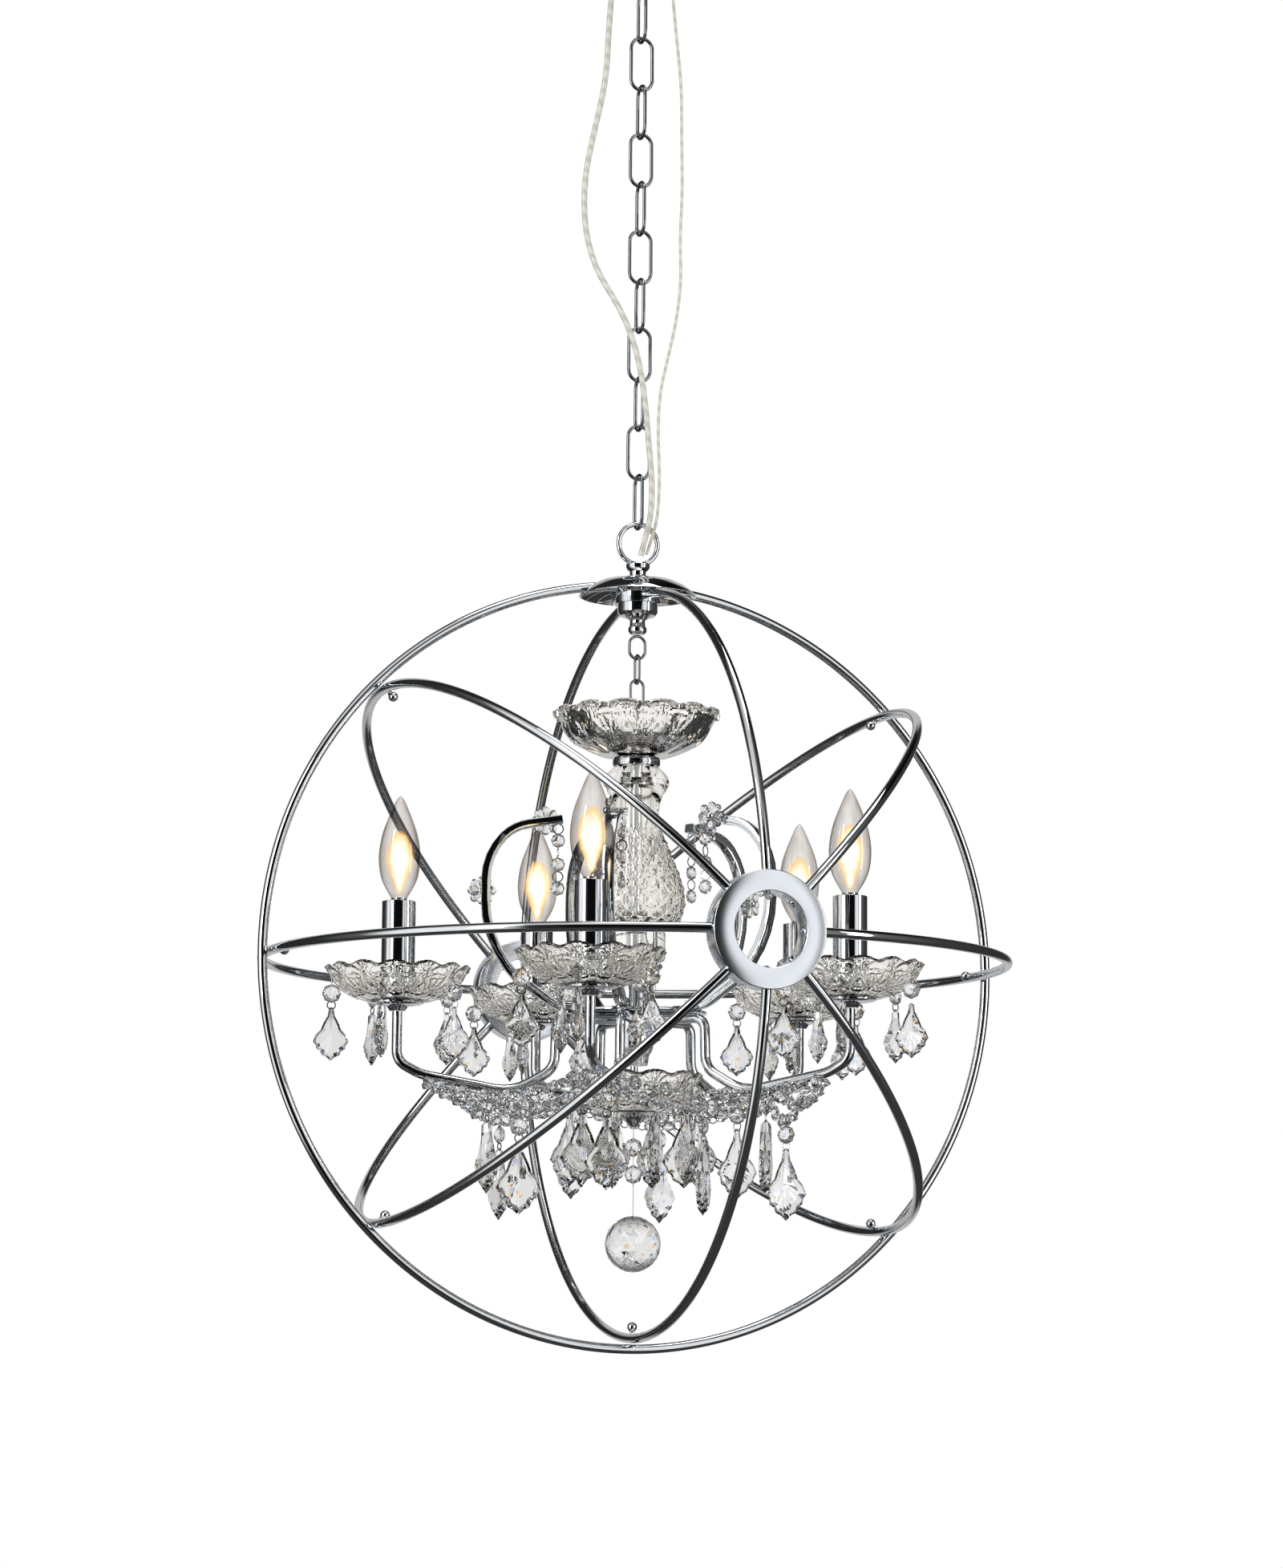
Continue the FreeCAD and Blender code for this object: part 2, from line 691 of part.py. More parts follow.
def inner_chain_low():
    """Height of the lower inner link's bottom wire."""
    span = inner_link_length - inner_link_wire
    return inner_chain_top() - 2 * span + inner_link_wire + hang_gap


def inner_links():
    solids = []
    pitch = inner_link_length - 2 * inner_link_wire - hang_gap
    for i in range(2):
        top = Vector(0, 0, inner_chain_top() - i * pitch)
        plane = Vector(1, 0, 0) if i == 0 else Vector(0, 1, 0)
        solids.append(link(inner_link_length, inner_link_width, inner_link_wire, link_sides, top, plane))
    return solids


def column_tube():
    """The chrome tube that threads the glass together, under a closed nut."""
    half = tube_size / 2
    top = tube_top
    outside = [(half, arm_hub_top() + seat_gap), (half, top_dish_floor + glass_wall + seat_gap),
               (half + 3.5, top_dish_floor + glass_wall + seat_gap), (half + 3.5, top - 2), (half, top)]
    inside = [(0, top), (0, top - 2), (half - tube_wall, top - 2), (half - tube_wall, arm_hub_top() + seat_gap)]
    return turned(outside + inside[0:1], 12).cut(
        turned([(half - tube_wall, arm_hub_top() - 1), (half - tube_wall, top - 3)], 12))


def arm_hub_top():
    return collar_glass_floor - seat_gap


def seat_ring():
    half = seat_ring_size / 2
    low = column_top + seat_gap
    high = top_dish_floor - seat_gap
    return hollow_turned([(tube_bore / 2, low), (half - 3, low), (half, low + 3), (half, high - 3),
                          (half - 4, high), (tube_bore / 2, high)])


def glass_column():
    """The blown baluster: shoulder, neck and a large cut bulb, hollow along its length."""
    outside = [(24, column_floor), (36, 37), (38.2, 50), (35, 66), (26.5, 86), (19.5, 108),
               (18, 123), (25.5, 141), (25.5, 148), (19, column_top)]
    inside = [(tube_bore / 2, column_top), (12, 143), (11, 122), (21, 86), (29, 66), (32, 50),
              (27, 36), (tube_bore / 2, column_floor)]
    return hollow_turned(outside + inside)


def glass_collar():
    half = collar_glass_size / 2
    low = collar_glass_floor
    high = column_floor - seat_gap
    return hollow_turned([(tube_bore / 2, low), (half - 3, low), (half, low + 3), (half, high - 5),
                          (half - 5, high), (tube_bore / 2, high)])


def arm_hub():
    """The turned hub under the glass, with the wide plate that steadies the arms."""
    half = arm_hub_size / 2
    plate = arm_plate_size / 2
    low = arm_plate_top - arm_plate_thickness
    profile = [(20, arm_hub_top()), (22, arm_hub_top() - 4), (half, arm_hub_top() - 9),
               (half, arm_plate_top), (plate, arm_plate_top), (plate, low), (half, low),
               (half, arm_hub_floor + 14), (half - 4, arm_hub_floor + 8), (half - 4, arm_hub_floor)]
    hub = turned(profile, 20, True)
    hub.rotate(Vector(0, 0, 0), Vector(0, 0, 1), first_arm_angle - 90)
    return hub


def lower_finial():
    """The rod under the hub, the nut that holds the lower dish, and its loop for the ball."""
    half = finial_size / 2
    rod = rod_size / 2
    seat = lower_dish_floor - seat_gap
    profile = [(rod, arm_hub_floor - seat_gap), (rod, seat), (half, seat), (half - 2, seat - 4),
               (4, seat - 9), (2.5, seat - 11)]
    return turned(profile, 12)


def finial_loop_low():
    return lower_dish_floor - seat_gap - 11


# ---- Arms and lights ----
def arm_path():
    """An arm's centre line as (reach, height): out from the hub, down in a C, out and up to its cup."""
    hub_flat_reach = arm_hub_size / 2 * math.cos(math.pi / 20)
    corners = [(hub_flat_reach + seat_gap, arm_axis_z), (arm_turn, arm_axis_z),
               (arm_turn + 1, arm_low + 19), (arm_turn + arm_bow, arm_low),
               (arm_reach - arm_elbow, arm_low + 13), (arm_reach, arm_low + 23),
               (arm_reach, cup_floor_z - seat_gap)]
    return rounded(corners, [9, 17, 40, 30, 14])


def in_plane_of(angle, path):
    out = heading(angle)
    return [out * reach + Vector(0, 0, z) for reach, z in path]


def across_arm(angle):
    return Vector(0, 0, 1).cross(heading(angle)) * -1


def arm(angle):
    return wire(in_plane_of(angle, arm_path()), arm_tube, 6, False, across_arm(angle))


def scroll_path():
    """The upper scroll as (reach, height), from its foot on the plate to its tip beside the column."""
    foot = (arm_plate_size / 2 - 3, arm_plate_top + seat_gap + scroll_thickness / 2)
    corners = [(foot[0] - 8, foot[1]), (foot[0] + 8, foot[1]), (scroll_side - 25, -14),
               (scroll_side, 20), (scroll_side, scroll_top - 30), (scroll_side - 23, scroll_top - 6),
               (scroll_tip, scroll_top)]
    return rounded(corners, [16, 40, 45, 34, 24])


def scroll(angle):
    return strip(in_plane_of(angle, scroll_path()), scroll_width, scroll_thickness, across_arm(angle))


def arm_cup():
    half = cup_saucer / 2
    base = cup_base_size / 2
    return turned([(base - 1.5, cup_floor_z), (base, cup_floor_z + 2), (half - 6, cup_top_z - 2.5),
                   (half, cup_top_z)], small_sides)


def bobeche_floor():
    return cup_top_z + seat_gap


def bobeche():
    return fluted(bobeche_size / 2, bobeche_rim, bobeche_floor(), cup_saucer / 2, 12.0, bobeche_flutes)


def sleeve_floor():
    return bobeche_floor() + glass_wall + seat_gap


def candle_sleeve():
    half = sleeve_size / 2
    low = sleeve_floor()
    return hollow_turned([(half - sleeve_wall, low), (half, low), (half, sleeve_top),
                          (half - sleeve_wall, sleeve_top)], small_sides)


def lampholder():
    """The socket inside the sleeve, on a stem through the dish's hole, with its well for the bulb."""
    half = lampholder_size / 2
    well = bulb_base_size / 2 + bulb_fit
    low = sleeve_floor()
    high = sleeve_top - 1.0
    well_floor = high - bulb_base_length - 2
    body = turned([(4, cup_top_z + seat_gap), (4, low), (half, low), (half, high)], small_sides)
    return body.cut(turned([(well, well_floor), (well, high + 1)], small_sides))


def bulb():
    """A clear torpedo bulb on its screw base, drawn as it stands in the socket."""
    half = bulb_size / 2
    neck = sleeve_top + 1.0
    base = bulb_base_size / 2
    rise = bulb_tip - neck
    profile = [(base * 0.5, neck - bulb_base_length), (base, neck - bulb_base_length + 2),
               (base, neck), (half * 0.86, neck + rise * 0.2), (half, neck + rise * 0.36),
               (half * 0.91, neck + rise * 0.54), (half * 0.6, neck + rise * 0.78),
               (half * 0.2, neck + rise * 0.96), (0, bulb_tip)]
    return turned(profile, small_sides)


# ---- Crystals ----
def gem(outline, thickness, top, facing):
    """A flat cut crystal under a point: an outline (across, down) between two raised middles."""
    side = Vector(0, 0, 1).cross(facing)
    ring = [top + side * across - Vector(0, 0, down) for across, down in outline]
    middle = Vector(0, 0, 0)
    for point in ring:
        middle += point * (1.0 / len(ring))
    return skin([[middle - facing * (thickness / 2)], ring, [middle + facing * (thickness / 2)]])


def bead_outline(size):
    half = size / 2
    return [(half * math.sin(math.radians(a)), half - half * math.cos(math.radians(a)))
            for a in range(0, 360, 60)]


def drop_outline(width, length):
    """A pendalogue: narrow at the hole, widest low down, with a scalloped foot."""
    right = [(0.16, 0.10), (0.27, 0.30), (0.5, 0.62), (0.38, 0.86)]
    half = [(width * across, length * down) for across, down in right]
    return [(0, 0)] + half + [(0, length)] + [(-across, down) for across, down in reversed(half)]


def stem(top, low):
    """A straight wire between two heights, with a little gap at both ends."""
    path = [top - Vector(0, 0, crystal_gap), Vector(top.x, top.y, low + crystal_gap)]
    return wire(path, wire_size, 3, False, Vector(0, 1, 0))


def pendant(top, facing, drop, wire_length=7.0):
    """A wire, a bead and a drop that hang under a point."""
    bead_top = top - Vector(0, 0, wire_length)
    drop_top = bead_top - Vector(0, 0, bead_size + 3.0)
    width, length, thickness = drop
    return [stem(top, bead_top.z), gem(bead_outline(bead_size), bead_thickness, bead_top, facing),
            stem(bead_top - Vector(0, 0, bead_size), drop_top.z),
            gem(drop_outline(width, length), thickness, drop_top, facing)]


def hanger_place(angle, turn):
    """Where a pendant hangs under an arm's dish, at a turn from the outward direction."""
    reach, z = under_rim(bobeche_size / 2, bobeche_rim, bobeche_floor(), cup_saucer / 2, 4.0)
    return spot(angle, arm_reach, 0) + spot(angle + turn, reach, z - seat_gap)


def outer_pendant(angle):
    return pendant(hanger_place(angle, 0), heading(angle + 90), small_drop, 9.0)


def rim_pendants():
    solids = []
    for angle in arm_angles:
        for turn in (72, 144, 216, 288):
            top = hanger_place(angle, turn)
            facing = heading(angle + turn + 90)
            solids += pendant(top, facing, small_drop, 9.0)
    return solids


def garland(start, end, sag, beads):
    """Beads tip to tip along a hanging curve between two points."""
    path = []
    for i in range(beads + 1):
        share = i / beads
        drop = 4 * sag * share * (1 - share)
        path.append(start + (end - start) * share - Vector(0, 0, drop))
    solids = []
    for low, high in zip(path[:-1], path[1:]):
        along = high - low
        length = along.Length - crystal_gap
        unit = Vector(along).normalize()
        side = unit.cross(Vector(0, 0, 1)).normalize()
        up = side.cross(unit)
        middle = (low + high) * 0.5
        ring = [middle + side * (small_bead_size / 2 * math.cos(a)) + up * (small_bead_size / 2 * math.sin(a))
                for a in [math.pi / 3 * k for k in range(6)]]
        solids.append(skin([[middle - unit * (length / 2)], ring, [middle + unit * (length / 2)]]))
    return solids


def swag_end(angle):
    """Where garlands start, just under an arm's level run."""
    return spot(angle, swag_reach, swag_height())


def swag_height():
    return arm_low_at(swag_reach) - 1.3


def arm_low_at(reach):
    """Height of an arm's underside at a reach along its level run."""
    path = [point for point in arm_path() if point[0] > 75]
    for (near, low), (far, high) in zip(path[:-1], path[1:]):
        if near <= reach <= far:
            return low + (high - low) * (reach - near) / (far - near) - arm_tube * 0.45
    return path[0][1] - arm_tube * 0.45


def swags():
    """Five garlands, each from under one arm to the next."""
    solids = []
    for i, angle in enumerate(arm_angles):
        here = swag_end(angle)
        there = swag_end(arm_angles[(i + 1) % arm_count])
        aside = (there - here).normalize() * 1.0
        solids += garland(here + aside, there - aside, swag_sag, swag_bead_count)
    return solids


def large_pendants():
    """The large drops: under each swag and each arm, and as a skirt round the lower dish."""
    solids = []
    half_step = 180.0 / arm_count
    for angle in arm_angles:
        middle = (swag_end(angle) + swag_end(angle + 2 * half_step)) * 0.5
        top = middle - Vector(0, 0, swag_sag + seat_gap)
        solids += pendant(top, heading(angle + half_step + 55), large_drop, 3.0)
        reach = swag_reach * 0.77
        under = spot(angle, reach, arm_low_at(reach))
        solids += pendant(under, heading(angle + 20), large_drop, 4.0)
    reach, z = under_rim(lower_dish_size / 2, lower_dish_rim, lower_dish_floor, 20.0, 3.0)
    for i in range(lower_pendant_count):
        turn = 360.0 / lower_pendant_count * i
        top = spot(turn, reach, z - seat_gap - 0.4)
        solids += pendant(top, heading(turn + 62), large_drop, 8.0)
    return solids


def scroll_crystals():
    """Crystal rosettes on each scroll, and the strand that hangs from its tip."""
    solids = []
    path = scroll_path()
    tip = path[-1]
    for angle in arm_angles:
        across = across_arm(angle)
        for reach, z in ((tip[0] + 12, tip[1] - 1.5), (scroll_side, scroll_top - 58)):
            middle = spot(angle, reach, z) + across * (scroll_width / 2 + crystal_gap)
            solids.append(rosette(middle, across))
        top = spot(angle, tip[0] + 3, tip[1] - scroll_thickness / 2 - 0.8)
        for i in range(5):
            outline = bead_outline(small_bead_size)
            here = top - Vector(0, 0, i * (small_bead_size + crystal_gap) + crystal_gap)
            solids.append(gem(outline, small_bead_thickness, here, across))
    return solids


def rosette(middle, facing):
    """A small flower of petals with a raised middle."""
    side = Vector(0, 0, 1)
    across = facing.cross(side)
    half = rosette_size / 2
    ring = []
    for i in range(2 * rosette_petal_count):
        turn = math.pi * i / rosette_petal_count
        r = half if i % 2 == 0 else half * 0.62
        ring.append(middle + facing * 2.5 + side * (r * math.cos(turn)) + across * (r * math.sin(turn)))
    return skin([[middle], ring, [middle + facing * 7]])


def ball_strand():
    """Two beads and their wires between the finial and the ball."""
    top = Vector(0, 0, finial_loop_low())
    first = top - Vector(0, 0, 8)
    second = first - Vector(0, 0, bead_size + 6)
    low = ball_middle + ball_size / 2
    facing = heading(0)
    solids = [stem(top, first.z), gem(bead_outline(bead_size), bead_thickness, first, facing),
              stem(first - Vector(0, 0, bead_size), second.z),
              gem(bead_outline(bead_size), bead_thickness, second, facing),
              stem(second - Vector(0, 0, bead_size), low)]
    return solids


def crystal_ball():
    half = ball_size / 2
    levels = [90, 60, 30, 0, -30, -60, -90]
    profile = [(half * math.cos(math.radians(a)) if abs(a) < 90 else 0,
                ball_middle + half * math.sin(math.radians(a))) for a in levels]
    return turned(profile, 12)


# ---- Build ----
os.makedirs("parts", exist_ok=True)
print("orb middle is", round(orb_drop, 2), "below the ceiling")

save("ceiling_strap", [ceiling_strap()])
save("canopy", [canopy()])
save("canopy_nuts", canopy_nuts())
save("canopy_loop", [hanging_loop(canopy_loop_middle, -1)])
upper_links, end_link = chain_links()
save("chain_links", upper_links)
save("chain_end_link", [end_link])
save("power_cord", [cord("power_cord", power_points, power_cord)])
save("ground_wire", [cord("ground_wire", ground_points, ground_wire)])

save("cage_loop", [hanging_loop(loop_middle, 1)])
save("cage_cap", [cage_cap()])
save("top_block", [top_block()])
save("outer_ring", [outer_ring()])
save("vertical_hoops", upper_hoops() + [half_hoop(-90)])
save("level_hoops", [half_hoop(0), half_hoop(180)])
save("rising_hoops", [half_hoop(45), half_hoop(225)])
save("falling_hoops", [half_hoop(-45), half_hoop(135)])
save("front_hub", [ring_hub(-1)])
save("back_hub", [ring_hub(1)])
save("cage_fasteners", fasteners())
save("cluster_hook", [cluster_hook()])

save("inner_links", inner_links())
save("cluster_bail", [bail()])
save("top_dish", [fluted(top_dish_size / 2, top_dish_rim, top_dish_floor, 24.0, tube_bore, top_dish_flutes)])
save("seat_ring", [seat_ring()])
save("column_tube", [column_tube()])
save("glass_column", [glass_column()])
save("glass_collar", [glass_collar()])
save("arm_hub", [arm_hub()])
save("lower_dish", [fluted(lower_dish_size / 2, lower_dish_rim, lower_dish_floor, 20.0,
                           rod_size + 2 * slide_fit, lower_dish_flutes)])
save("lower_finial", [lower_finial()])

for number, angle in enumerate(arm_angles, 1):
    light = spot(angle, arm_reach, 0)
    save("arm_" + str(number), [arm(angle)])
    save("bobeche_" + str(number), [moved(bobeche(), angle, light)])
    save("bulb_" + str(number), [moved(bulb(), angle, light)])
    save("outer_pendant_" + str(number), outer_pendant(angle))
lights = [(angle, spot(angle, arm_reach, 0)) for angle in arm_angles]
save("scrolls", [scroll(angle) for angle in arm_angles])
save("arm_cups", [moved(arm_cup(), angle, light) for angle, light in lights])
save("candle_sleeves", [moved(candle_sleeve(), angle, light) for angle, light in lights])
save("lampholders", [moved(lampholder(), angle, light) for angle, light in lights])

save("rim_pendants", rim_pendants())
save("swags", swags())
save("large_pendants", large_pendants())
save("scroll_crystals", scroll_crystals())
save("ball_strand", ball_strand())
save("crystal_ball", [crystal_ball()])
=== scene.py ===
import bpy
import math
from mathutils import Matrix, Vector


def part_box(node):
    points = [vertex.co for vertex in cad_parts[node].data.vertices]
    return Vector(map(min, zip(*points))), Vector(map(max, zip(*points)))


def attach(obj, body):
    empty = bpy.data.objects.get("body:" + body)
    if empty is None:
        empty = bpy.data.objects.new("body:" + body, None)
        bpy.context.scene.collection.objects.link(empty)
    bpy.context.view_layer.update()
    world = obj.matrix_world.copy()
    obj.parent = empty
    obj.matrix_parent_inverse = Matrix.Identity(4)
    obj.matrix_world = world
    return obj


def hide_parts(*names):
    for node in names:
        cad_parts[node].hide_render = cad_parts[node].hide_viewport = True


# Orb chandelier: chrome cage, crystal cluster, chain and clear cords, against plain white.
# Sizes are in mm and are laid out from the orb's middle, unless a note says otherwise.
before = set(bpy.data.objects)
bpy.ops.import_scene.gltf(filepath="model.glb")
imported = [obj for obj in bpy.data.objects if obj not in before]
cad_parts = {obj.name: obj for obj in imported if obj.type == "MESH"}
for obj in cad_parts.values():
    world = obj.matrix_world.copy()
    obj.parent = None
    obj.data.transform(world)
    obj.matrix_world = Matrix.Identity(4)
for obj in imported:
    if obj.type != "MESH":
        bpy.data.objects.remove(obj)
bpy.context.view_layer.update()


def mm(value):
    return value * 0.001


def boxMiddle(node):
    low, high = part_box(node)
    return (low + high) / 2


frontHub = boxMiddle("front_hub")
backHub = boxMiddle("back_hub")
orbMiddle = (frontHub + backHub) / 2        # metres, in the frame
up = Vector((0, 0, 1))
orb = {
    "tube": 7.5,
    "outerRadius": 301.25,
    "hoopRadius": 292.95,
    "firstArm": -101.2,                     # degrees from the front hub
    "arms": 5,
    "armReach": 187.0,
    "weld": 0.02,                           # points closer than this are merged
    "flat": 0.9,                            # how far a face looks along an axis, to count as flat to it
}
armStep = 360.0 / orb["arms"]
armAngles = [orb["firstArm"] + armStep * i for i in range(orb["arms"])]


def heading(angle):
    return Vector((math.sin(math.radians(angle)), -math.cos(math.radians(angle)), 0))


def bodyHeight(node, top=True):
    # height of a CAD node's top or bottom
    low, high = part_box(node)
    return ((high if top else low).z - orbMiddle.z) * 1000


def mode(name):
    bpy.ops.object.mode_set(mode=name)


def selectAll():
    bpy.ops.mesh.select_all(action="SELECT")


def deselect():
    active = bpy.context.view_layer.objects.active
    if active and active.mode != "OBJECT":
        mode("OBJECT")
    bpy.ops.object.select_all(action="DESELECT")


def pick(piece):
    deselect()
    piece.select_set(True)
    bpy.context.view_layer.objects.active = piece


def edit(piece):
    pick(piece)
    mode("EDIT")
    bpy.ops.mesh.select_mode(type="VERT")
    selectAll()


def selectWhere(piece, kind, test):
    # picks vertices or faces by a test of each, and leaves the piece in edit mode
    mode("EDIT")
    bpy.ops.mesh.select_mode(type=kind)
    bpy.ops.mesh.select_all(action="DESELECT")
    mode("OBJECT")
    for part in piece.data.vertices if kind == "VERT" else piece.data.polygons:
        part.select = test(part)
    mode("EDIT")


def smooth(piece, angle):
    pick(piece)
    bpy.ops.object.shade_smooth_by_angle(angle=math.radians(angle))


def tidyShell(piece, angle):
    edit(piece)
    bpy.ops.mesh.remove_doubles(threshold=mm(orb["weld"]))
    bpy.ops.mesh.normals_make_consistent(inside=False)
    mode("OBJECT")
    smooth(piece, angle)


def applyModifier(piece, name, kind, settings):
    modifier = piece.modifiers.new(name, kind)
    for key, value in settings.items():
        setattr(modifier, key, value)
    pick(piece)
    bpy.ops.object.modifier_apply(modifier=modifier.name)


def newPiece(name):
    piece = bpy.context.active_object
    piece.name = name
    piece.data.name = name
    return piece


def moveMesh(piece, turn=0.0, place=(0, 0, 0), axis="Z"):
    # turned about an axis, then moved by metres
    piece.data.transform(Matrix.Translation(Vector(place)) @ Matrix.Rotation(math.radians(turn), 4, axis))
    return piece


def copyPiece(piece, name, turn=0.0, place=(0, 0, 0)):
    twin = piece.copy()
    twin.data = piece.data.copy()
    twin.name = name
    bpy.context.collection.objects.link(twin)
    return moveMesh(twin, turn, place)


def joinPieces(name, parts):
    deselect()
    for part in parts:
        part.select_set(True)
    bpy.context.view_layer.objects.active = parts[0]
    bpy.ops.object.join()
    return newPiece(name)


def ringPiece(name, radius, wireSize, steps, sides):
    deselect()
    bpy.ops.mesh.primitive_torus_add(major_radius=mm(radius), minor_radius=mm(wireSize / 2),
                                     major_segments=steps, minor_segments=sides)
    return newPiece(name)


def drawnLine(name, line):
    # edges drawn point by point through (across, height), all selected in edit mode at the end
    deselect()
    bpy.ops.mesh.primitive_plane_add(size=mm(1))
    piece = newPiece(name)
    edit(piece)
    bpy.ops.mesh.merge(type="CENTER")
    across, height = line[0]
    bpy.ops.transform.translate(value=(mm(across), 0, mm(height)))
    for nextAcross, nextHeight in line[1:]:
        step = (mm(nextAcross - across), 0, mm(nextHeight - height))
        bpy.ops.mesh.extrude_region_move(TRANSFORM_OT_translate={"value": step})
        across, height = nextAcross, nextHeight
    selectAll()
    return piece


def spunPiece(name, profile, steps=48, angle=32):
    # profile: (radius, height) from one end to the other; closed where it ends on the axis or on itself
    piece = drawnLine(name, profile)
    bpy.ops.mesh.spin(steps=steps, angle=2 * math.pi, center=(0, 0, 0), axis=(0, 0, 1))
    tidyShell(piece, angle)
    return piece


def curvedProfile(corners, steps=6):
    # a smooth line through (radius, height) corners; a corner with True as a third value stays sharp
    line = []
    count = len(corners)
    for i in range(count - 1):
        a, b = corners[i], corners[i + 1]
        before = corners[i - 1] if i > 0 and len(a) == 2 else a
        after = corners[i + 2] if i + 2 < count and len(b) == 2 else b
        for s in range(steps):
            t = s / steps
            point = []
            for k in (0, 1):
                m1 = (b[k] - before[k]) / 2
                m2 = (after[k] - a[k]) / 2
                point.append((2 * t**3 - 3 * t**2 + 1) * a[k] + (t**3 - 2 * t**2 + t) * m1
                             + (3 * t**2 - 2 * t**3) * b[k] + (t**3 - t**2) * m2)
            line.append((max(point[0], 0), point[1]))
    line.append((corners[-1][0], corners[-1][1]))
    return line


def bendPlan(corners, bends):
    # a path in the XZ plane: straight runs and the bends between them
    plan = []
    points = [Vector((x, 0, z)) for x, z in corners]
    here = points[0]
    for i, bend in enumerate(bends):
        before, corner, after = points[i:i + 3]
        runIn = (corner - before).normalized()
        runOut = (after - corner).normalized()
        turn = runIn.angle(runOut)
        cut = bend * math.tan(turn / 2)
        centre = corner + (runOut - runIn).normalized() * (bend / math.cos(turn / 2))
        way = 1 if runIn.cross(runOut).y > 0 else -1
        plan.append(("run", corner - runIn * cut - here))
        plan.append(("bend", centre, turn * way))
        here = corner + runOut * cut
    plan.append(("run", points[-1] - here))
    return plan


def lean(direction):
    # the turn that brings the upright onto a direction
    return up.rotation_difference(direction.normalized()).to_matrix().to_4x4()


def bentBar(name, corners, bends, section, steps=8):
    # section: ("round", size, sides) or ("flat", thickness, width, bevel), set square to the first run
    # and then carried along the runs and bends
    (x, z), (nextX, nextZ) = corners[:2]
    deselect()
    if section[0] == "round":
        bpy.ops.mesh.primitive_circle_add(vertices=section[2], radius=mm(section[1] / 2), fill_type="NOTHING")
        piece = newPiece(name)
    else:
        bpy.ops.mesh.primitive_plane_add(size=1)
        piece = newPiece(name)
        edit(piece)
        bpy.ops.mesh.delete(type="ONLY_FACE")
        selectAll()
        bpy.ops.transform.resize(value=(mm(section[1]), mm(section[2]), 1))
        bpy.ops.mesh.bevel(offset=mm(section[3]), segments=2, affect="VERTICES")
        mode("OBJECT")
    piece.data.transform(Matrix.Translation((mm(x), 0, mm(z))) @ lean(Vector((nextX - x, 0, nextZ - z))))
    edit(piece)
    for step in bendPlan(corners, bends):
        if step[0] == "run":
            bpy.ops.mesh.extrude_region_move(TRANSFORM_OT_translate={"value": tuple(mm(step[1]))})
        else:
            count = max(2, round(steps * abs(step[2]) / (math.pi / 2)))
            bpy.ops.mesh.spin(steps=count, angle=-step[2], center=tuple(mm(step[1])), axis=(0, 1, 0))
    selectAll()
    bpy.ops.mesh.fill_holes(sides=0)
    tidyShell(piece, angle=40)
    return piece


def hexColour(code):
    parts = [int(code[i:i + 2], 16) / 255 for i in (1, 3, 5)]
    linear = [c / 12.92 if c <= 0.04045 else ((c + 0.055) / 1.055) ** 2.4 for c in parts]
    return (linear[0], linear[1], linear[2], 1)


def layRamp(ramp, stops):
    # stops: (place, hex colour or level of grey) from low to high
    colours = [(spot, hexColour(c) if isinstance(c, str) else (c, c, c, 1)) for spot, c in stops]
    ends = ramp.elements
    ends[0].position, ends[0].color = colours[0]
    ends[1].position, ends[1].color = colours[-1]
    for spot, colour in colours[1:-1]:
        ends.new(spot).color = colour


def addNode(tree, kind, settings=None, links=None):
    # settings: a ramp's stops or flat steps, or values of attributes and inputs, with hex colours as text;
    # links: input -> (node, output)
    node = tree.nodes.new("ShaderNode" + kind)
    for key, value in (settings or {}).items():
        if str(value).startswith("#"):
            value = hexColour(value)
        if key in ("stops", "steps"):
            node.color_ramp.interpolation = "CONSTANT" if key == "steps" else "LINEAR"
            layRamp(node.color_ramp, value)
        elif isinstance(key, str) and hasattr(node, key):
            setattr(node, key, value)
        else:
            node.inputs[key].default_value = value
    for key, (source, output) in (links or {}).items():
        tree.links.new(source.outputs[output], node.inputs[key])
    return node


def grain(size):
    # a pattern's scale, from its real size
    return 1000 / size


def span(low, high, start=0.0, end=1.0, **more):
    # settings that carry low..high over to start..end
    return {"From Min": low, "From Max": high, "To Min": start, "To Max": end, **more}


def newMaterial(name):
    material = bpy.data.materials.new(name)
    material.use_nodes = True
    tree = material.node_tree
    tree.nodes.clear()
    return material, tree, addNode(tree, "TexCoord")


def mottled(name, pattern, settings, output, codes, finish):
    # two colours mixed by a pattern over the piece
    material, tree, place = newMaterial(name)
    spread = addNode(tree, pattern, settings, {"Vector": (place, "Object")})
    tint = addNode(tree, "Mix", {"data_type": "RGBA", 6: codes[0], 7: codes[1]}, {0: (spread, output)})
    shader = addNode(tree, "BsdfPrincipled", finish, {"Base Color": (tint, 2)})
    addNode(tree, "OutputMaterial", {}, {"Surface": (shader, 0)})
    return material, tree, spread, shader


def platedChrome(name, codes, roughness, hazeSize, haziness):
    # bright nickel-chrome plate over steel: mirror sharp, with the faint haze of handling
    material, tree, haze, shader = mottled(name, "TexNoise", {"Scale": grain(hazeSize), "Detail": 3.0}, "Fac",
                                           codes, {"Metallic": 1.0})
    rough = addNode(tree, "MapRange", span(0, 1, roughness * (1 - haziness), roughness * (1 + haziness)),
                    {"Value": (haze, "Fac")})
    tree.links.new(rough.outputs["Result"], shader.inputs["Roughness"])
    return material


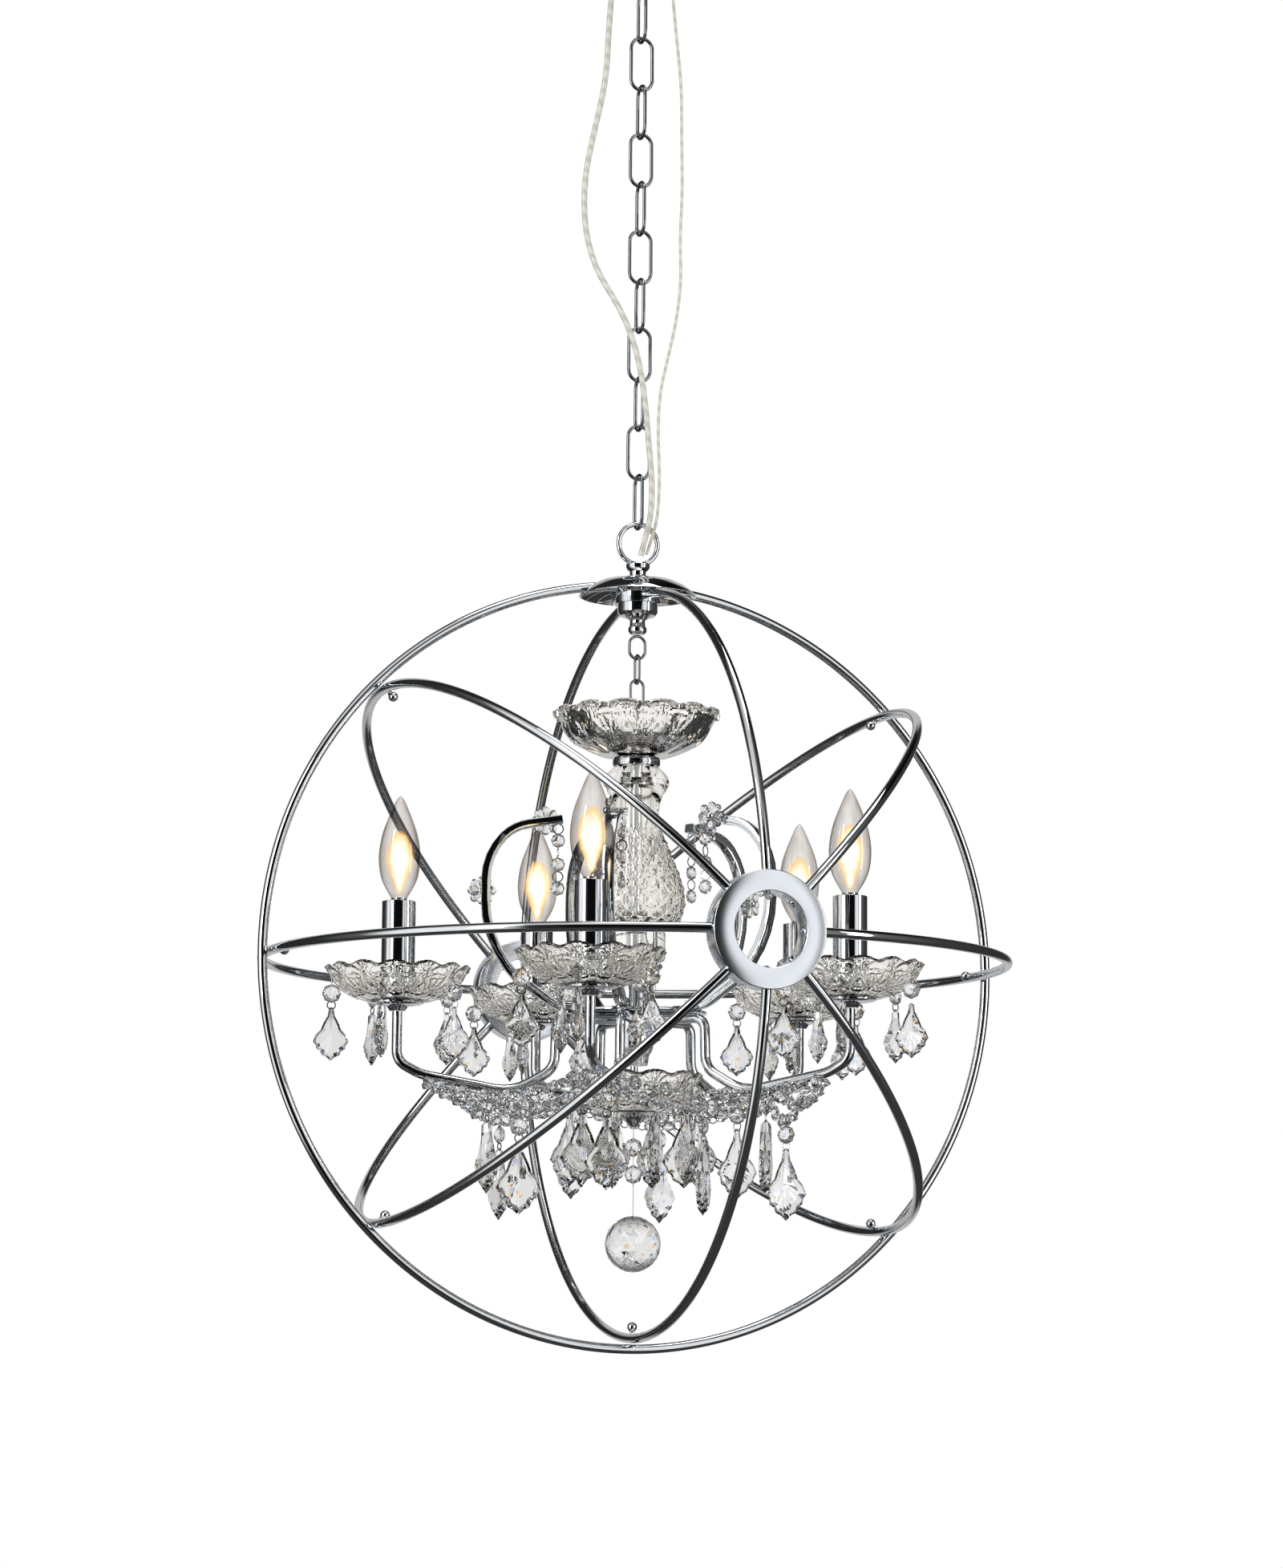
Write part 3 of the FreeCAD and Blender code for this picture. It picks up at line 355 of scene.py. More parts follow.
def clearGlass(tree, tint, height, strength, ripple):
    # polished glass with a colour and a slight ripple on its surface
    bump = addNode(tree, "Bump", {"Strength": strength, "Distance": mm(ripple)}, {"Height": (height, "Fac")})
    glass = addNode(tree, "BsdfGlass", {"IOR": 1.5, "Roughness": 0.0},
                    {"Color": (tint, 2), "Normal": (bump, "Normal")})
    addNode(tree, "OutputMaterial", {}, {"Surface": (glass, 0)})


def cutCrystal():
    # lead crystal, ground and polished flat, with painted light in its colour: a painted shade of grey for
    # each facet, by the way it faces, and painted flashes of colour in a few small spots
    material, tree, place = newMaterial("lead crystal, cut and polished")
    facet = addNode(tree, "TexVoronoi", {"Scale": 2.6}, {"Vector": (place, "Normal")})
    shade = addNode(tree, "SeparateColor", {}, {"Color": (facet, "Color")})
    # painted shade: each facet gets its own grey, picked by the way the facet faces
    paintedFacetShades = [(0.0, "#f8f8f8"), (0.35, "#ececeb"), (0.6, "#f6f6f5"), (0.75, "#dadad9"), (0.86, "#f3f3f3")]
    grey = addNode(tree, "ValToRGB", {"steps": paintedFacetShades}, {"Fac": (shade, "Red")})
    spot = addNode(tree, "TexVoronoi", {"Scale": grain(3.0)}, {"Vector": (place, "Object")})
    part = addNode(tree, "SeparateColor", {}, {"Color": (spot, "Color")})
    # painted flashes: small spots tinted pale blue, white and amber, standing in for the crystal's fire
    fire = [(0.0, "#ffffff"), (0.955, "#d8e4ff"), (0.97, "#ffffff"), (0.985, "#ffe2c0")]
    paintedFlash = addNode(tree, "ValToRGB", {"steps": fire}, {"Fac": (part, "Green")})
    tint = addNode(tree, "Mix", {"data_type": "RGBA", "blend_type": "MULTIPLY", 0: 1.0},
                   {6: (grey, "Color"), 7: (paintedFlash, "Color")})
    wave = addNode(tree, "TexNoise", {"Scale": grain(9.0)}, {"Vector": (place, "Object")})
    clearGlass(tree, tint, wave, 0.03, 0.5)
    return material


def pressedGlass():
    # pressed soda glass, fire polished: clear with a faint warm grey, and a slow ripple left by the mould
    material, tree, place = newMaterial("soda glass, pressed and fire polished")
    ripple = addNode(tree, "TexNoise", {"Scale": grain(14.0), "Detail": 1.0}, {"Vector": (place, "Object")})
    tint = addNode(tree, "Mix", {"data_type": "RGBA", 6: "#fefdfc", 7: "#f9f8f5"}, {0: (ripple, "Fac")})
    clearGlass(tree, tint, ripple, 0.06, 0.8)
    return material


def lampGlass():
    # thin blown lamp glass: painted grey shade towards the edge, with soft streaks drawn up its length and
    # bright reflections
    material, tree, place = newMaterial("blown lamp glass")
    drawn = addNode(tree, "Mapping", {"Scale": (1, 1, 0.08)}, {"Vector": (place, "Object")})
    streak = addNode(tree, "TexNoise", {"Scale": grain(7.0), "Detail": 1.0}, {"Vector": (drawn, "Vector")})
    # painted shade: what the glass passes turns grey where it faces away from the view, with the streaks
    # added in
    rim = addNode(tree, "LayerWeight", {"Blend": 0.4})
    grey = addNode(tree, "Math", {"operation": "MULTIPLY_ADD", 1: 0.9},
                   {0: (streak, "Fac"), 2: (rim, "Facing")})
    less = addNode(tree, "Math", {"operation": "SUBTRACT", 1: 0.42}, {0: (grey, 0)})
    shade = addNode(tree, "ValToRGB", {"stops": [(0.0, "#f5f3f1"), (0.5, "#dcd8d4"), (1.0, "#938d88")]},
                    {"Fac": (less, 0)})
    rough = addNode(tree, "MapRange", span(0, 1, 0.02, 0.09), {"Value": (streak, "Fac")})
    clear = addNode(tree, "BsdfTransparent", {}, {"Color": (shade, "Color")})
    gloss = addNode(tree, "BsdfGlossy", {"Color": "#ffffff"}, {"Roughness": (rough, "Result")})
    edge = addNode(tree, "Math", {"operation": "POWER", 1: 3.0}, {0: (rim, "Facing")})
    shine = addNode(tree, "MapRange", span(0, 1, 0.06, 0.35), {"Value": (edge, 0)})
    mix = addNode(tree, "MixShader", {}, {0: (shine, "Result"), 1: (clear, 0), 2: (gloss, 0)})
    addNode(tree, "OutputMaterial", {}, {"Surface": (mix, 0)})
    return material


def filamentGlow():
    # the lit gas round the filament: white in the middle, then yellow and orange, fading out
    material, tree, place = newMaterial("lit filament glow")
    rim = addNode(tree, "LayerWeight", {"Blend": 0.5})
    flicker = addNode(tree, "TexNoise", {"Scale": grain(7.0)}, {"Vector": (place, "Object")})
    facing = addNode(tree, "Math", {"operation": "MULTIPLY_ADD", 1: 0.22},
                     {0: (flicker, "Fac"), 2: (rim, "Facing")})
    warmth = addNode(tree, "ValToRGB", {"stops": [(0.17, "#fffdf4"), (0.36, "#ffd689"), (0.66, "#f2a854")]},
                     {"Fac": (facing, 0)})
    fade = addNode(tree, "MapRange", span(0.12, 0.68, 1.0, 0.0, interpolation_type="SMOOTHSTEP"),
                   {"Value": (facing, 0)})
    lit = addNode(tree, "Emission", {"Strength": 1.4}, {"Color": (warmth, "Color")})
    clear = addNode(tree, "BsdfTransparent")
    mix = addNode(tree, "MixShader", {}, {0: (fade, "Result"), 1: (clear, 0), 2: (lit, 0)})
    addNode(tree, "OutputMaterial", {}, {"Surface": (mix, 0)})
    return material


chrome = platedChrome("chrome plate, bright", ("#eceef0", "#dfe3e8"), 0.045, 18.0, 0.4)
wireChrome = platedChrome("chrome plate, drawn wire", ("#a3a5a8", "#8d9094"), 0.07, 12.0, 0.4)
paleChrome = platedChrome("chrome plate, faced", ("#f4f7fc", "#e6ecf4"), 0.17, 30.0, 0.06)
crystal = cutCrystal()
sodaGlass = pressedGlass()
bulbGlass = lampGlass()
glow = filamentGlow()
# clear PVC over tinned strands: pale grey-beige with a soft shine; the twist is drawn coarse, to show
cordPvc = mottled("clear PVC cord over tinned strands", "TexWave",
                  {"Scale": grain(16.0), "Distortion": 3.0, "bands_direction": "DIAGONAL"}, "Fac",
                  ("#c3bfb2", "#dedbd0"), {"Roughness": 0.25, "Coat Weight": 0.6})[0]
# pressed strip with bright zinc: cloudy grey spangle
strapSteel = mottled("zinc plated steel strip", "TexVoronoi", {"Scale": grain(5.0)}, "Distance",
                     ("#9a9da0", "#c2c6c9"), {"Metallic": 1.0, "Roughness": 0.38})[0]
# moulded phenolic lampholder: near black, slightly mottled, satin
socketBlack = mottled("moulded phenolic", "TexNoise", {"Scale": grain(2.0)}, "Fac",
                      ("#1b1a19", "#2c2a28"), {"Roughness": 0.45})[0]
print("materials made")


def finishPiece(piece, body, *nodes, material=chrome, slotName="chrome"):
    # lowered from the orb's middle to its place in the frame
    piece.data.transform(Matrix.Translation(orbMiddle))
    piece.data.materials.clear()
    piece.data.materials.append(material)
    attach(piece, body)
    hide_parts(*nodes)


def dressNode(node, material):
    # a CAD node that stays, with its own finish
    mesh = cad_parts[node].data
    mesh.materials.clear()
    mesh.materials.append(material)


cage = {
    "ringSteps": 240,
    "tubeSteps": 28,
    "hubOuter": 87.0,
    "hubBore": 56.0,
    "hubDepth": 20.0,
    "hubSteps": 128,
    "hubBevel": 0.7,
    "hubEdge": 0.5,
    "hubSlope": 0.88,                       # depth at the outer edge, as a share of the depth at the bore
    "blockHalf": 17.6,
    "nutSize": 7.7,
    "nutNeck": 4.0,
    "nutRise": 1.0,                         # of the neck over the ball
    "nutGap": 1.3,                          # from the hoop's tube to the ball
    "nutRows": 12,
    "fastenerStep": 45,                     # degrees
    "screw": [(0, 2.1), (1.6, 2.0), (2.6, 1.2), (3.0, 0), (0, 0)],
    "screwSink": 0.1,
    "capHalf": 47.0,
    "cap": [(6.0, 306.7), (19.0, 306.6), (30.0, 305.2), (38.0, 301.4), (43.5, 297.4), (46.6, 294.4),
            (47.0, 293.7), (45.8, 293.7), (45.0, 294.6), (42.6, 296.6), (37.4, 299.9), (29.6, 303.8),
            (19.0, 305.3), (6.0, 305.3), (6.0, 306.7)],
    "notchStart": 18.6,
    "notchSlack": 0.6,                      # round the outer ring's tube
    "notchDepth": 14.0,
    "notchMiddle": 298.4,
    "block": [(0, 263), (5.5, 263), (7.3, 265), (7.5, 267.4), (6.2, 270), (6.0, 274), (9.5, 276.4),
              (14.2, 277.8), (16.0, 280.4), (16.0, 287), (17.4, 287.2), (18.0, 288.4), (18.0, 304.6),
              (17.4, 305), (0, 305)],
}


def hoopTorus(name, radius, turn, axis="Y"):
    piece = ringPiece(name, radius, orb["tube"], cage["ringSteps"], cage["tubeSteps"])
    return moveMesh(piece, turn, axis=axis)


def keepBeyond(piece, point, normal):
    # cuts the piece with a plane, keeps the side that the normal points to, and closes the ends
    edit(piece)
    bpy.ops.mesh.bisect(plane_co=tuple(point), plane_no=tuple(normal), use_fill=True, clear_inner=True)
    mode("OBJECT")
    return piece


def halfHoop(name, turn):
    # from hub to hub, on the side that is 'turn' degrees up from level
    side = Vector((math.cos(math.radians(turn)), 0, math.sin(math.radians(turn))))
    piece = hoopTorus(name, orb["hoopRadius"], -turn)
    return keepBeyond(piece, side * mm(cage["hubOuter"] / 2), side)


def quarterHoop(name, way):
    side = Vector((0, way, 0))
    return keepBeyond(halfHoop(name, 90), side * mm(cage["blockHalf"]), side)


def hubRing(name, place):
    # a disc, its faces inset to the bore and bridged through, thinned to the rim, with fine bevels
    half = cage["hubOuter"] / 2
    deselect()
    bpy.ops.mesh.primitive_cylinder_add(vertices=cage["hubSteps"], radius=mm(half),
                                        depth=mm(cage["hubDepth"]))
    piece = newPiece(name)
    selectWhere(piece, "FACE", lambda face: abs(face.normal.z) > orb["flat"])
    bpy.ops.mesh.inset(thickness=mm(half - cage["hubBore"] / 2))
    bpy.ops.mesh.bridge_edge_loops()
    edge = mm(half - cage["hubEdge"])
    selectWhere(piece, "VERT", lambda vertex: math.hypot(vertex.co.x, vertex.co.y) > edge)
    bpy.ops.transform.resize(value=(1, 1, cage["hubSlope"]), center_override=(0, 0, 0))
    mode("OBJECT")
    applyModifier(piece, "edge", "BEVEL", {"width": mm(cage["hubBevel"]), "segments": 3,
                                           "limit_method": "ANGLE", "angle_limit": math.radians(50)})
    moveMesh(piece, 90, place - orbMiddle, "X")
    smooth(piece, angle=30)
    return piece


def ballNut():
    radius, neck = cage["nutSize"] / 2, cage["nutNeck"] / 2
    top = radius + cage["nutRise"]
    start = math.asin(neck / radius)
    turns = [start + (math.pi - start) * i / cage["nutRows"] for i in range(cage["nutRows"])]
    arc = [(radius * math.sin(a), radius * math.cos(a)) for a in turns]
    profile = [(0, top), (neck, top), (neck, arc[0][1])] + arc + [(0, -radius)]
    return spunPiece("ballNut", profile, steps=24, angle=35)


def fasteners():
    nut = ballNut()
    reach = orb["hoopRadius"] - orb["tube"] / 2 - cage["nutSize"] / 2 - cage["nutGap"]
    moveMesh(nut, place=(0, 0, mm(reach)))
    screw = moveMesh(spunPiece("hubScrew", cage["screw"], steps=20), 180,
                     (0, 0, mm(cage["hubBore"] / 2 - cage["screwSink"])), "X")
    step = cage["fastenerStep"]
    parts = [moveMesh(copyPiece(nut, "nut"), turn, axis="Y") for turn in range(step, 360, step)]
    for place in (frontHub, backHub):
        for turn in range(0, 360, step):
            parts.append(moveMesh(copyPiece(screw, "screw"), turn, place - orbMiddle, "Y"))
    bpy.data.objects.remove(nut)
    bpy.data.objects.remove(screw)
    return joinPieces("fasteners", parts)


def cageCap():
    half = cage["capHalf"]
    cap = spunPiece("cageCap", cage["cap"], steps=72, angle=40)
    for way in (-1, 1):
        deselect()
        bpy.ops.mesh.primitive_cube_add(size=1)
        notch = newPiece("notch")
        notch.data.transform(Matrix.Diagonal((mm(half), mm(orb["tube"] + cage["notchSlack"]),
                                              mm(cage["notchDepth"]), 1)))
        moveMesh(notch, place=(way * mm(cage["notchStart"] + half / 2), 0, mm(cage["notchMiddle"])))
        applyModifier(cap, "notch", "BOOLEAN",
                      {"operation": "DIFFERENCE", "object": notch, "solver": "EXACT"})
        bpy.data.objects.remove(notch)
    smooth(cap, angle=40)
    return cap


def buildCage():
    hoops = [("outer_ring", hoopTorus("outerRing", orb["outerRadius"], 90, "X"))]
    for turn, name, node in ((0, "levelHoops", "level_hoops"), (45, "risingHoops", "rising_hoops"),
                             (-45, "fallingHoops", "falling_hoops")):
        hoops.append((node, joinPieces(name, [halfHoop(name, turn), halfHoop(name, turn + 180)])))
    upright = [quarterHoop("upper", -1), quarterHoop("upper", 1), halfHoop("lower", -90)]
    hoops.append(("vertical_hoops", joinPieces("uprightHoops", upright)))
    for node, piece in hoops:
        smooth(piece, angle=60)
        finishPiece(piece, "cage", node)
    finishPiece(fasteners(), "cage", "cage_fasteners")
    finishPiece(cageCap(), "cage", "cage_cap")
    finishPiece(spunPiece("topBlock", cage["block"], steps=64), "cage", "top_block")
    for name, place, node in (("frontHubRing", frontHub, "front_hub"), ("backHubRing", backHub, "back_hub")):
        finishPiece(hubRing(name, place), "cage", node, material=paleChrome, slotName="hub_steel")


buildCage()
print("cage built")


chain = {
    "link": (46.4, 21.0, 2.8),              # length, width, wire
    "pitch": 40.3,
    "count": 10,
    "hook": (20.5, 15.6, 2.4),
    "inner": (25.0, 13.0, 2.2),
    "innerPitch": 20.1,
    "loopOuter": 36.6,
    "loopWire": 3.9,
    "loopSink": 3.0,                        # of the loop's ring in its collar
    "collar": [(0, 0), (8.2, 0), (7.6, 1.2), (6.6, 2.6), (6.4, 5), (6.6, 7), (8.6, 8.6), (9.5, 10.4),
               (9.5, 12.6), (8.6, 13.8), (0, 14)],
}


def ovalLink(name, size, top, facing):
    # a ring stretched to a link: its upper half is moved up by the straight run
    length, width, wireSize = size
    bend = (width - wireSize) / 2
    straight = length - width
    piece = moveMesh(ringPiece(name, bend, wireSize, steps=40, sides=12), 90, axis="X")
    selectWhere(piece, "VERT", lambda vertex: vertex.co.z > 1e-6)
    bpy.ops.transform.translate(value=(0, 0, mm(straight)))
    mode("OBJECT")
    moveMesh(piece, 90 if facing == "Y" else 0, (0, 0, mm(top - bend - wireSize / 2 - straight)))
    smooth(piece, angle=60)
    return piece


def hangingLoop(name, body, node, way):
    # a round ring sunk in a turned collar; way is -1 where the ring hangs below it
    half = chain["loopOuter"] / 2
    middle = bodyHeight(node, way > 0) - way * half
    ring = ringPiece(name + "Ring", half - chain["loopWire"] / 2, chain["loopWire"], steps=72, sides=16)
    moveMesh(ring, 90, (0, 0, mm(middle)), "X")
    base = middle - way * (half - chain["loopSink"] + chain["collar"][-1][1])
    collar = spunPiece(name + "Collar", [(r, base + way * h) for r, h in chain["collar"]], steps=40)
    smooth(ring, angle=60)
    finishPiece(joinPieces(name, [ring, collar]), body, node)


def buildChain():
    top = bodyHeight("chain_links")
    links = [ovalLink("link", chain["link"], top - i * chain["pitch"], "YX"[i % 2])
             for i in range(chain["count"])]
    finishPiece(joinPieces("chainLinks", links), "chain", "chain_links", material=wireChrome)
    last = ovalLink("endLink", chain["link"], bodyHeight("chain_end_link"), "Y")
    finishPiece(last, "end_link", "chain_end_link", material=wireChrome)
    hangingLoop("cageLoop", "cage", "cage_loop", 1)
    hangingLoop("canopyLoop", "ceiling", "canopy_loop", -1)
    hook = ovalLink("clusterHook", chain["hook"], bodyHeight("cluster_hook"), "X")
    finishPiece(hook, "cage", "cluster_hook", material=wireChrome)
    top = bodyHeight("inner_links")
    pair = [ovalLink("inner", chain["inner"], top - i * chain["innerPitch"], "YX"[i]) for i in range(2)]
    finishPiece(joinPieces("innerLinks", pair), "inner_chain", "inner_links", material=wireChrome)


buildChain()
print("chain built")


ceiling = {                                 # heights above the canopy's lowest face
    "outside": [(0, 0), (19.5, 0), (30, 1.6), (43, 5.2), (53, 10.6), (61, 17.4), (64.2, 24), (65, 28)],
    "inside": [(63.6, 28), (62.8, 24.4), (59.8, 18.4), (52, 12), (42.4, 6.7), (29.8, 3.1), (19.5, 1.4),
               (0, 1.4)],
    "nut": [(0, -4.6), (2.4, -4.1), (3.9, -2.4), (4.4, 0), (3.9, 2.0), (3.4, 3.0), (0, 3.0)],
    "nutReach": 38.0,
    "nutSeat": 0.1,
}


def buildCeiling():
    low = bodyHeight("canopy", False)
    profile = [(r, low + h) for r, h in ceiling["outside"] + ceiling["inside"]]
    finishPiece(spunPiece("canopyDome", profile, steps=96, angle=40), "ceiling", "canopy")
    seat = mm(low + ceiling["nutSeat"])
    nuts = [moveMesh(spunPiece("canopyNut", ceiling["nut"], steps=28, angle=50),
                     place=(0, mm(ceiling["nutReach"] * way), seat)) for way in (-1, 1)]
    finishPiece(joinPieces("canopyNuts", nuts), "ceiling", "canopy_nuts")
    dressNode("ceiling_strap", strapSteel)


buildCeiling()
print("ceiling fitting built")


def pushOut(piece, name, direction, depth, weights):
    # moves each vertex by its own share of a depth
    group = piece.vertex_groups.new(name=name)
    for vertex, weight in zip(piece.data.vertices, weights):
        group.add([vertex.index], weight, "REPLACE")
    applyModifier(piece, name, "DISPLACE", {"vertex_group": name, "direction": direction, "mid_level": 0.0,
                                            "strength": mm(depth)})


dishes = {
    "top": {"size": 128.0, "rim": 202.0, "floor": 165.0, "floorRadius": 24.0, "hole": 10.8, "scallops": 13},
    "light": {"size": 111.0, "rim": -5.0, "floor": -33.7, "floorRadius": 21.0, "hole": 12.0, "scallops": 13},
    "lower": {"size": 106.0, "rim": -86.0, "floor": -118.0, "floorRadius": 20.0, "hole": 6.8, "scallops": 12},
    "belly": (0.66, 0.34),                  # where the wall bends, as shares of its reach and its depth
    "foot": (6.0, 1.2),                     # from the flat floor to where the wall starts to rise
    "shoulder": (3.2, 8.0),                 # in and down from the rim
    "lip": 0.6,
    "wall": 3.4,
    "scallop": 5.6,
    "flute": 2.6,
    "fan": 17.0,                            # height of a row of fans
    "fanRows": 2,
    "ray": 22.0,                            # degrees from one wheel cut to the next
    "cut": 0.8,
    "stepsPerScallop": 24,
    "rows": 10,
    "liftPower": 3,                         # the scallops rise late, the flutes early
    "fluteRise": 1.4,
    "smoothAngle": 14,
}
inGlass = {"material": sodaGlass, "slotName": "clear_glass"}


def dishBelly(size):
    acrossShare, depthShare = dishes["belly"]
    return (size["floorRadius"] + (size["size"] / 2 - size["floorRadius"]) * acrossShare,
            size["floor"] + (size["rim"] - size["floor"]) * depthShare)


def fanCut(size, reach, turn, height):
    # 1 along the middle of a wheel cut and 0 between two: a fan in each scallop, and a second row of fans
    # between them below
    half = size["size"] / 2
    down = math.hypot(half - reach, size["rim"] - height)
    row = int(down // dishes["fan"])
    if row >= dishes["fanRows"]:
        return 0.0
    across = (turn / 360 * size["scallops"] + 0.5 * (1 - row)) % 1 - 0.5
    across *= 2 * math.pi * half / size["scallops"]
    spread = math.degrees(math.atan2(across, dishes["fan"] * (row + 1) - down))
    return abs(spread / dishes["ray"] % 1 - 0.5) * 2


def glassDish(name, size):
    # rings extruded from the hole outwards, then scalloped, fluted and cut by weight, then given its wall
    half, rim, floor, floorRadius = size["size"] / 2, size["rim"], size["floor"], size["floorRadius"]
    foot, footRise = dishes["foot"]
    shoulder, shoulderDrop = dishes["shoulder"]
    corners = [(floorRadius, floor), (floorRadius + foot, floor + footRise), dishBelly(size),
               (half - shoulder, rim - shoulderDrop), (half - dishes["lip"], rim - dishes["scallop"])]
    radius, height = size["hole"] / 2, floor
    deselect()
    bpy.ops.mesh.primitive_circle_add(vertices=size["scallops"] * dishes["stepsPerScallop"],
                                      radius=mm(radius), fill_type="NOTHING")
    piece = newPiece(name)
    edit(piece)
    bpy.ops.transform.translate(value=(0, 0, mm(floor)))
    for nextRadius, nextHeight in curvedProfile(corners, dishes["rows"]):
        bpy.ops.mesh.extrude_region_move()
        grow = nextRadius / radius
        bpy.ops.transform.resize(value=(grow, grow, 1), center_override=(0, 0, 0))
        bpy.ops.transform.translate(value=(0, 0, mm(nextHeight - height)))
        radius, height = nextRadius, nextHeight
    mode("OBJECT")
    lifts, flutes, fans = [], [], []
    for vertex in piece.data.vertices:
        reach = math.hypot(vertex.co.x, vertex.co.y) * 1000
        turn = math.degrees(math.atan2(vertex.co.x, -vertex.co.y))
        wave = abs(math.cos(math.radians(turn * size["scallops"] / 2)))
        outward = max(0.0, (reach - floorRadius) / (half - floorRadius))
        lifts.append(wave * outward ** dishes["liftPower"])
        flutes.append(wave * min(1.0, outward * dishes["fluteRise"]))
        fans.append(fanCut(size, reach, turn, vertex.co.z * 1000))
    pushOut(piece, "lift", "Z", dishes["scallop"], lifts)
    pushOut(piece, "flute", "NORMAL", -dishes["flute"], flutes)
    pushOut(piece, "fan", "NORMAL", -dishes["cut"], fans)
    applyModifier(piece, "wall", "SOLIDIFY", {"thickness": mm(dishes["wall"]), "offset": 1.0,
                                              "use_even_offset": False})
    piece.vertex_groups.clear()
    tidyShell(piece, dishes["smoothAngle"])
    return piece


column = {
    "outside": [(24, 29, True), (34, 33.5), (38.2, 47), (36.4, 62), (28.4, 84), (20.6, 104), (18.0, 120),
                (20.6, 132), (25.8, 141), (25.0, 148.5), (19, 155, True)],
    "inside": [(5.4, 155, True), (10, 148, True), (13, 140), (11.4, 122), (14, 104), (22, 84), (30, 62),
               (32, 48), (27, 36), (16, 33.4), (5.4, 29, True)],
    "diamonds": 18,
    "stepsPerDiamond": 6,
    "diamondReach": 36.0,                   # radius at which the diamonds are square
    "cut": 1.7,
    "plainRows": 2,                         # left uncut at the foot
    "plainFrom": 96.0,
    "plainTo": 108.0,
    "bail": [(0, 0), (2.3, 0), (5.5, -20), (4.0, -22), (-4.0, -22), (-5.5, -20), (-2.3, 0), (0, 0)],
    "bailBends": [1.2, 0.9, 0.9, 0.9, 0.9, 1.2],
    "bailWire": 2.0,
    "bailSides": 10,
    "smoothAngle": 12,
}
tubeTop = bodyHeight("column_tube")
turnedParts = (
    # name, node, finish, steps round, smoothing angle, profile
    ("glassCollar", "glass_collar", inGlass, 72, 30,
     [(5.4, 1), (21, 1), (23.4, 2.6), (24, 5), (24, 23), (22.6, 26.4), (19.4, 28.7), (5.4, 28.7), (5.4, 1)]),
    ("seatRing", "seat_ring", {}, 64, 32,
     [(5.4, 155.3), (15.8, 155.3), (18.4, 156.6), (19, 158.4), (19, 161.2), (18.2, 163.4), (15, 164.7),
      (5.4, 164.7), (5.4, 155.3)]),
    ("columnTube", "column_tube", {}, 40, 40,
     [(0, tubeTop), (3.4, tubeTop - 0.3), (4.8, tubeTop - 1.6), (6.4, tubeTop - 2.6), (8.5, tubeTop - 4.4),
      (8.5, 169.3), (5, 169.3), (5, 1), (3.8, 1), (3.8, tubeTop - 4), (0, tubeTop - 4)]),
    ("armHub", "arm_hub", {}, 80, 34,
     [(0, 0.7), (19.4, 0.7), (21.6, -1.2), (22, -3.2), (20, -5.4), (15.6, -7.6), (15, -10), (15, -38),
      (56.4, -38), (57, -38.6), (57, -39.8), (56.4, -40.4), (15, -40.4), (15, -66.4), (14, -69), (11.6, -73),
      (11, -78), (10.2, -80.6), (0, -81)]),
    ("lowerFinial", "lower_finial", {}, 40, 40,
     [(0, -81.3), (3, -81.3), (3, -118.3), (9.6, -118.3), (11, -119.6), (10.4, -121.4), (7.6, -124),
      (4.4, -126.6), (2.7, -128.6), (0, -129.3)]),
)


def evenLine(line, step):
    # the same line with its points an equal step apart
    gone = [0.0]
    for a, b in zip(line[:-1], line[1:]):
        gone.append(gone[-1] + math.dist(a, b))
    count = round(gone[-1] / step)
    even, i = [], 0
    for k in range(count):
        want = gone[-1] * k / count
        while gone[i + 1] < want:
            i += 1
        share = (want - gone[i]) / (gone[i + 1] - gone[i])
        even.append(tuple(a + (b - a) * share for a, b in zip(line[i], line[i + 1])))
    return even + [line[-1]]


def diamondCut(rows, vertex):
    # crossed wheel cuts that leave small pyramids standing, and run out towards the plain neck
    height = vertex.co.z * 1000
    row = min(range(len(rows)), key=lambda k: abs(rows[k][1] - height))
    if row < column["plainRows"]:
        return 0.0
    steps = column["stepsPerDiamond"]
    place = round(math.atan2(vertex.co.y, vertex.co.x) / (2 * math.pi) * column["diamonds"] * steps)
    proud = min(abs((row + way * place) % steps - steps / 2) for way in (1, -1)) / (steps / 2)
    plain = (column["plainTo"] - height) / (column["plainTo"] - column["plainFrom"])
    return proud * min(1.0, max(0.0, plain))


def glassBaluster():
    around = column["diamonds"] * column["stepsPerDiamond"]
    rows = evenLine(curvedProfile(column["outside"]), 2 * math.pi * column["diamondReach"] / around)
    shell = spunPiece("glassBaluster", rows, around, 50)
    pushOut(shell, "diamonds", "NORMAL", column["cut"],
            [diamondCut(rows, vertex) for vertex in shell.data.vertices])
    shell.vertex_groups.clear()
    bore = spunPiece("bore", [rows[-1]] + curvedProfile(column["inside"], steps=4) + [rows[0]], around, 50)
    whole = joinPieces("glassBaluster", [shell, bore])
    tidyShell(whole, column["smoothAngle"])
    return whole


def buildColumn():
    finishPiece(glassDish("topDish", dishes["top"]), "cluster", "top_dish", **inGlass)
    finishPiece(glassDish("lowerDish", dishes["lower"]), "cluster", "lower_dish", **inGlass)
    finishPiece(glassBaluster(), "cluster", "glass_column", **inGlass)
    for name, node, finish, steps, angle, profile in turnedParts:
        finishPiece(spunPiece(name, profile, steps, angle), "cluster", node, **finish)
    top = bodyHeight("cluster_bail") - column["bailWire"] / 2
    bail = bentBar("clusterBail", [(across, top + height) for across, height in column["bail"]],
                   column["bailBends"], ("round", column["bailWire"], column["bailSides"]), steps=5)
    finishPiece(moveMesh(bail, 90), "cluster", "cluster_bail", material=wireChrome)


buildColumn()
print("column built")


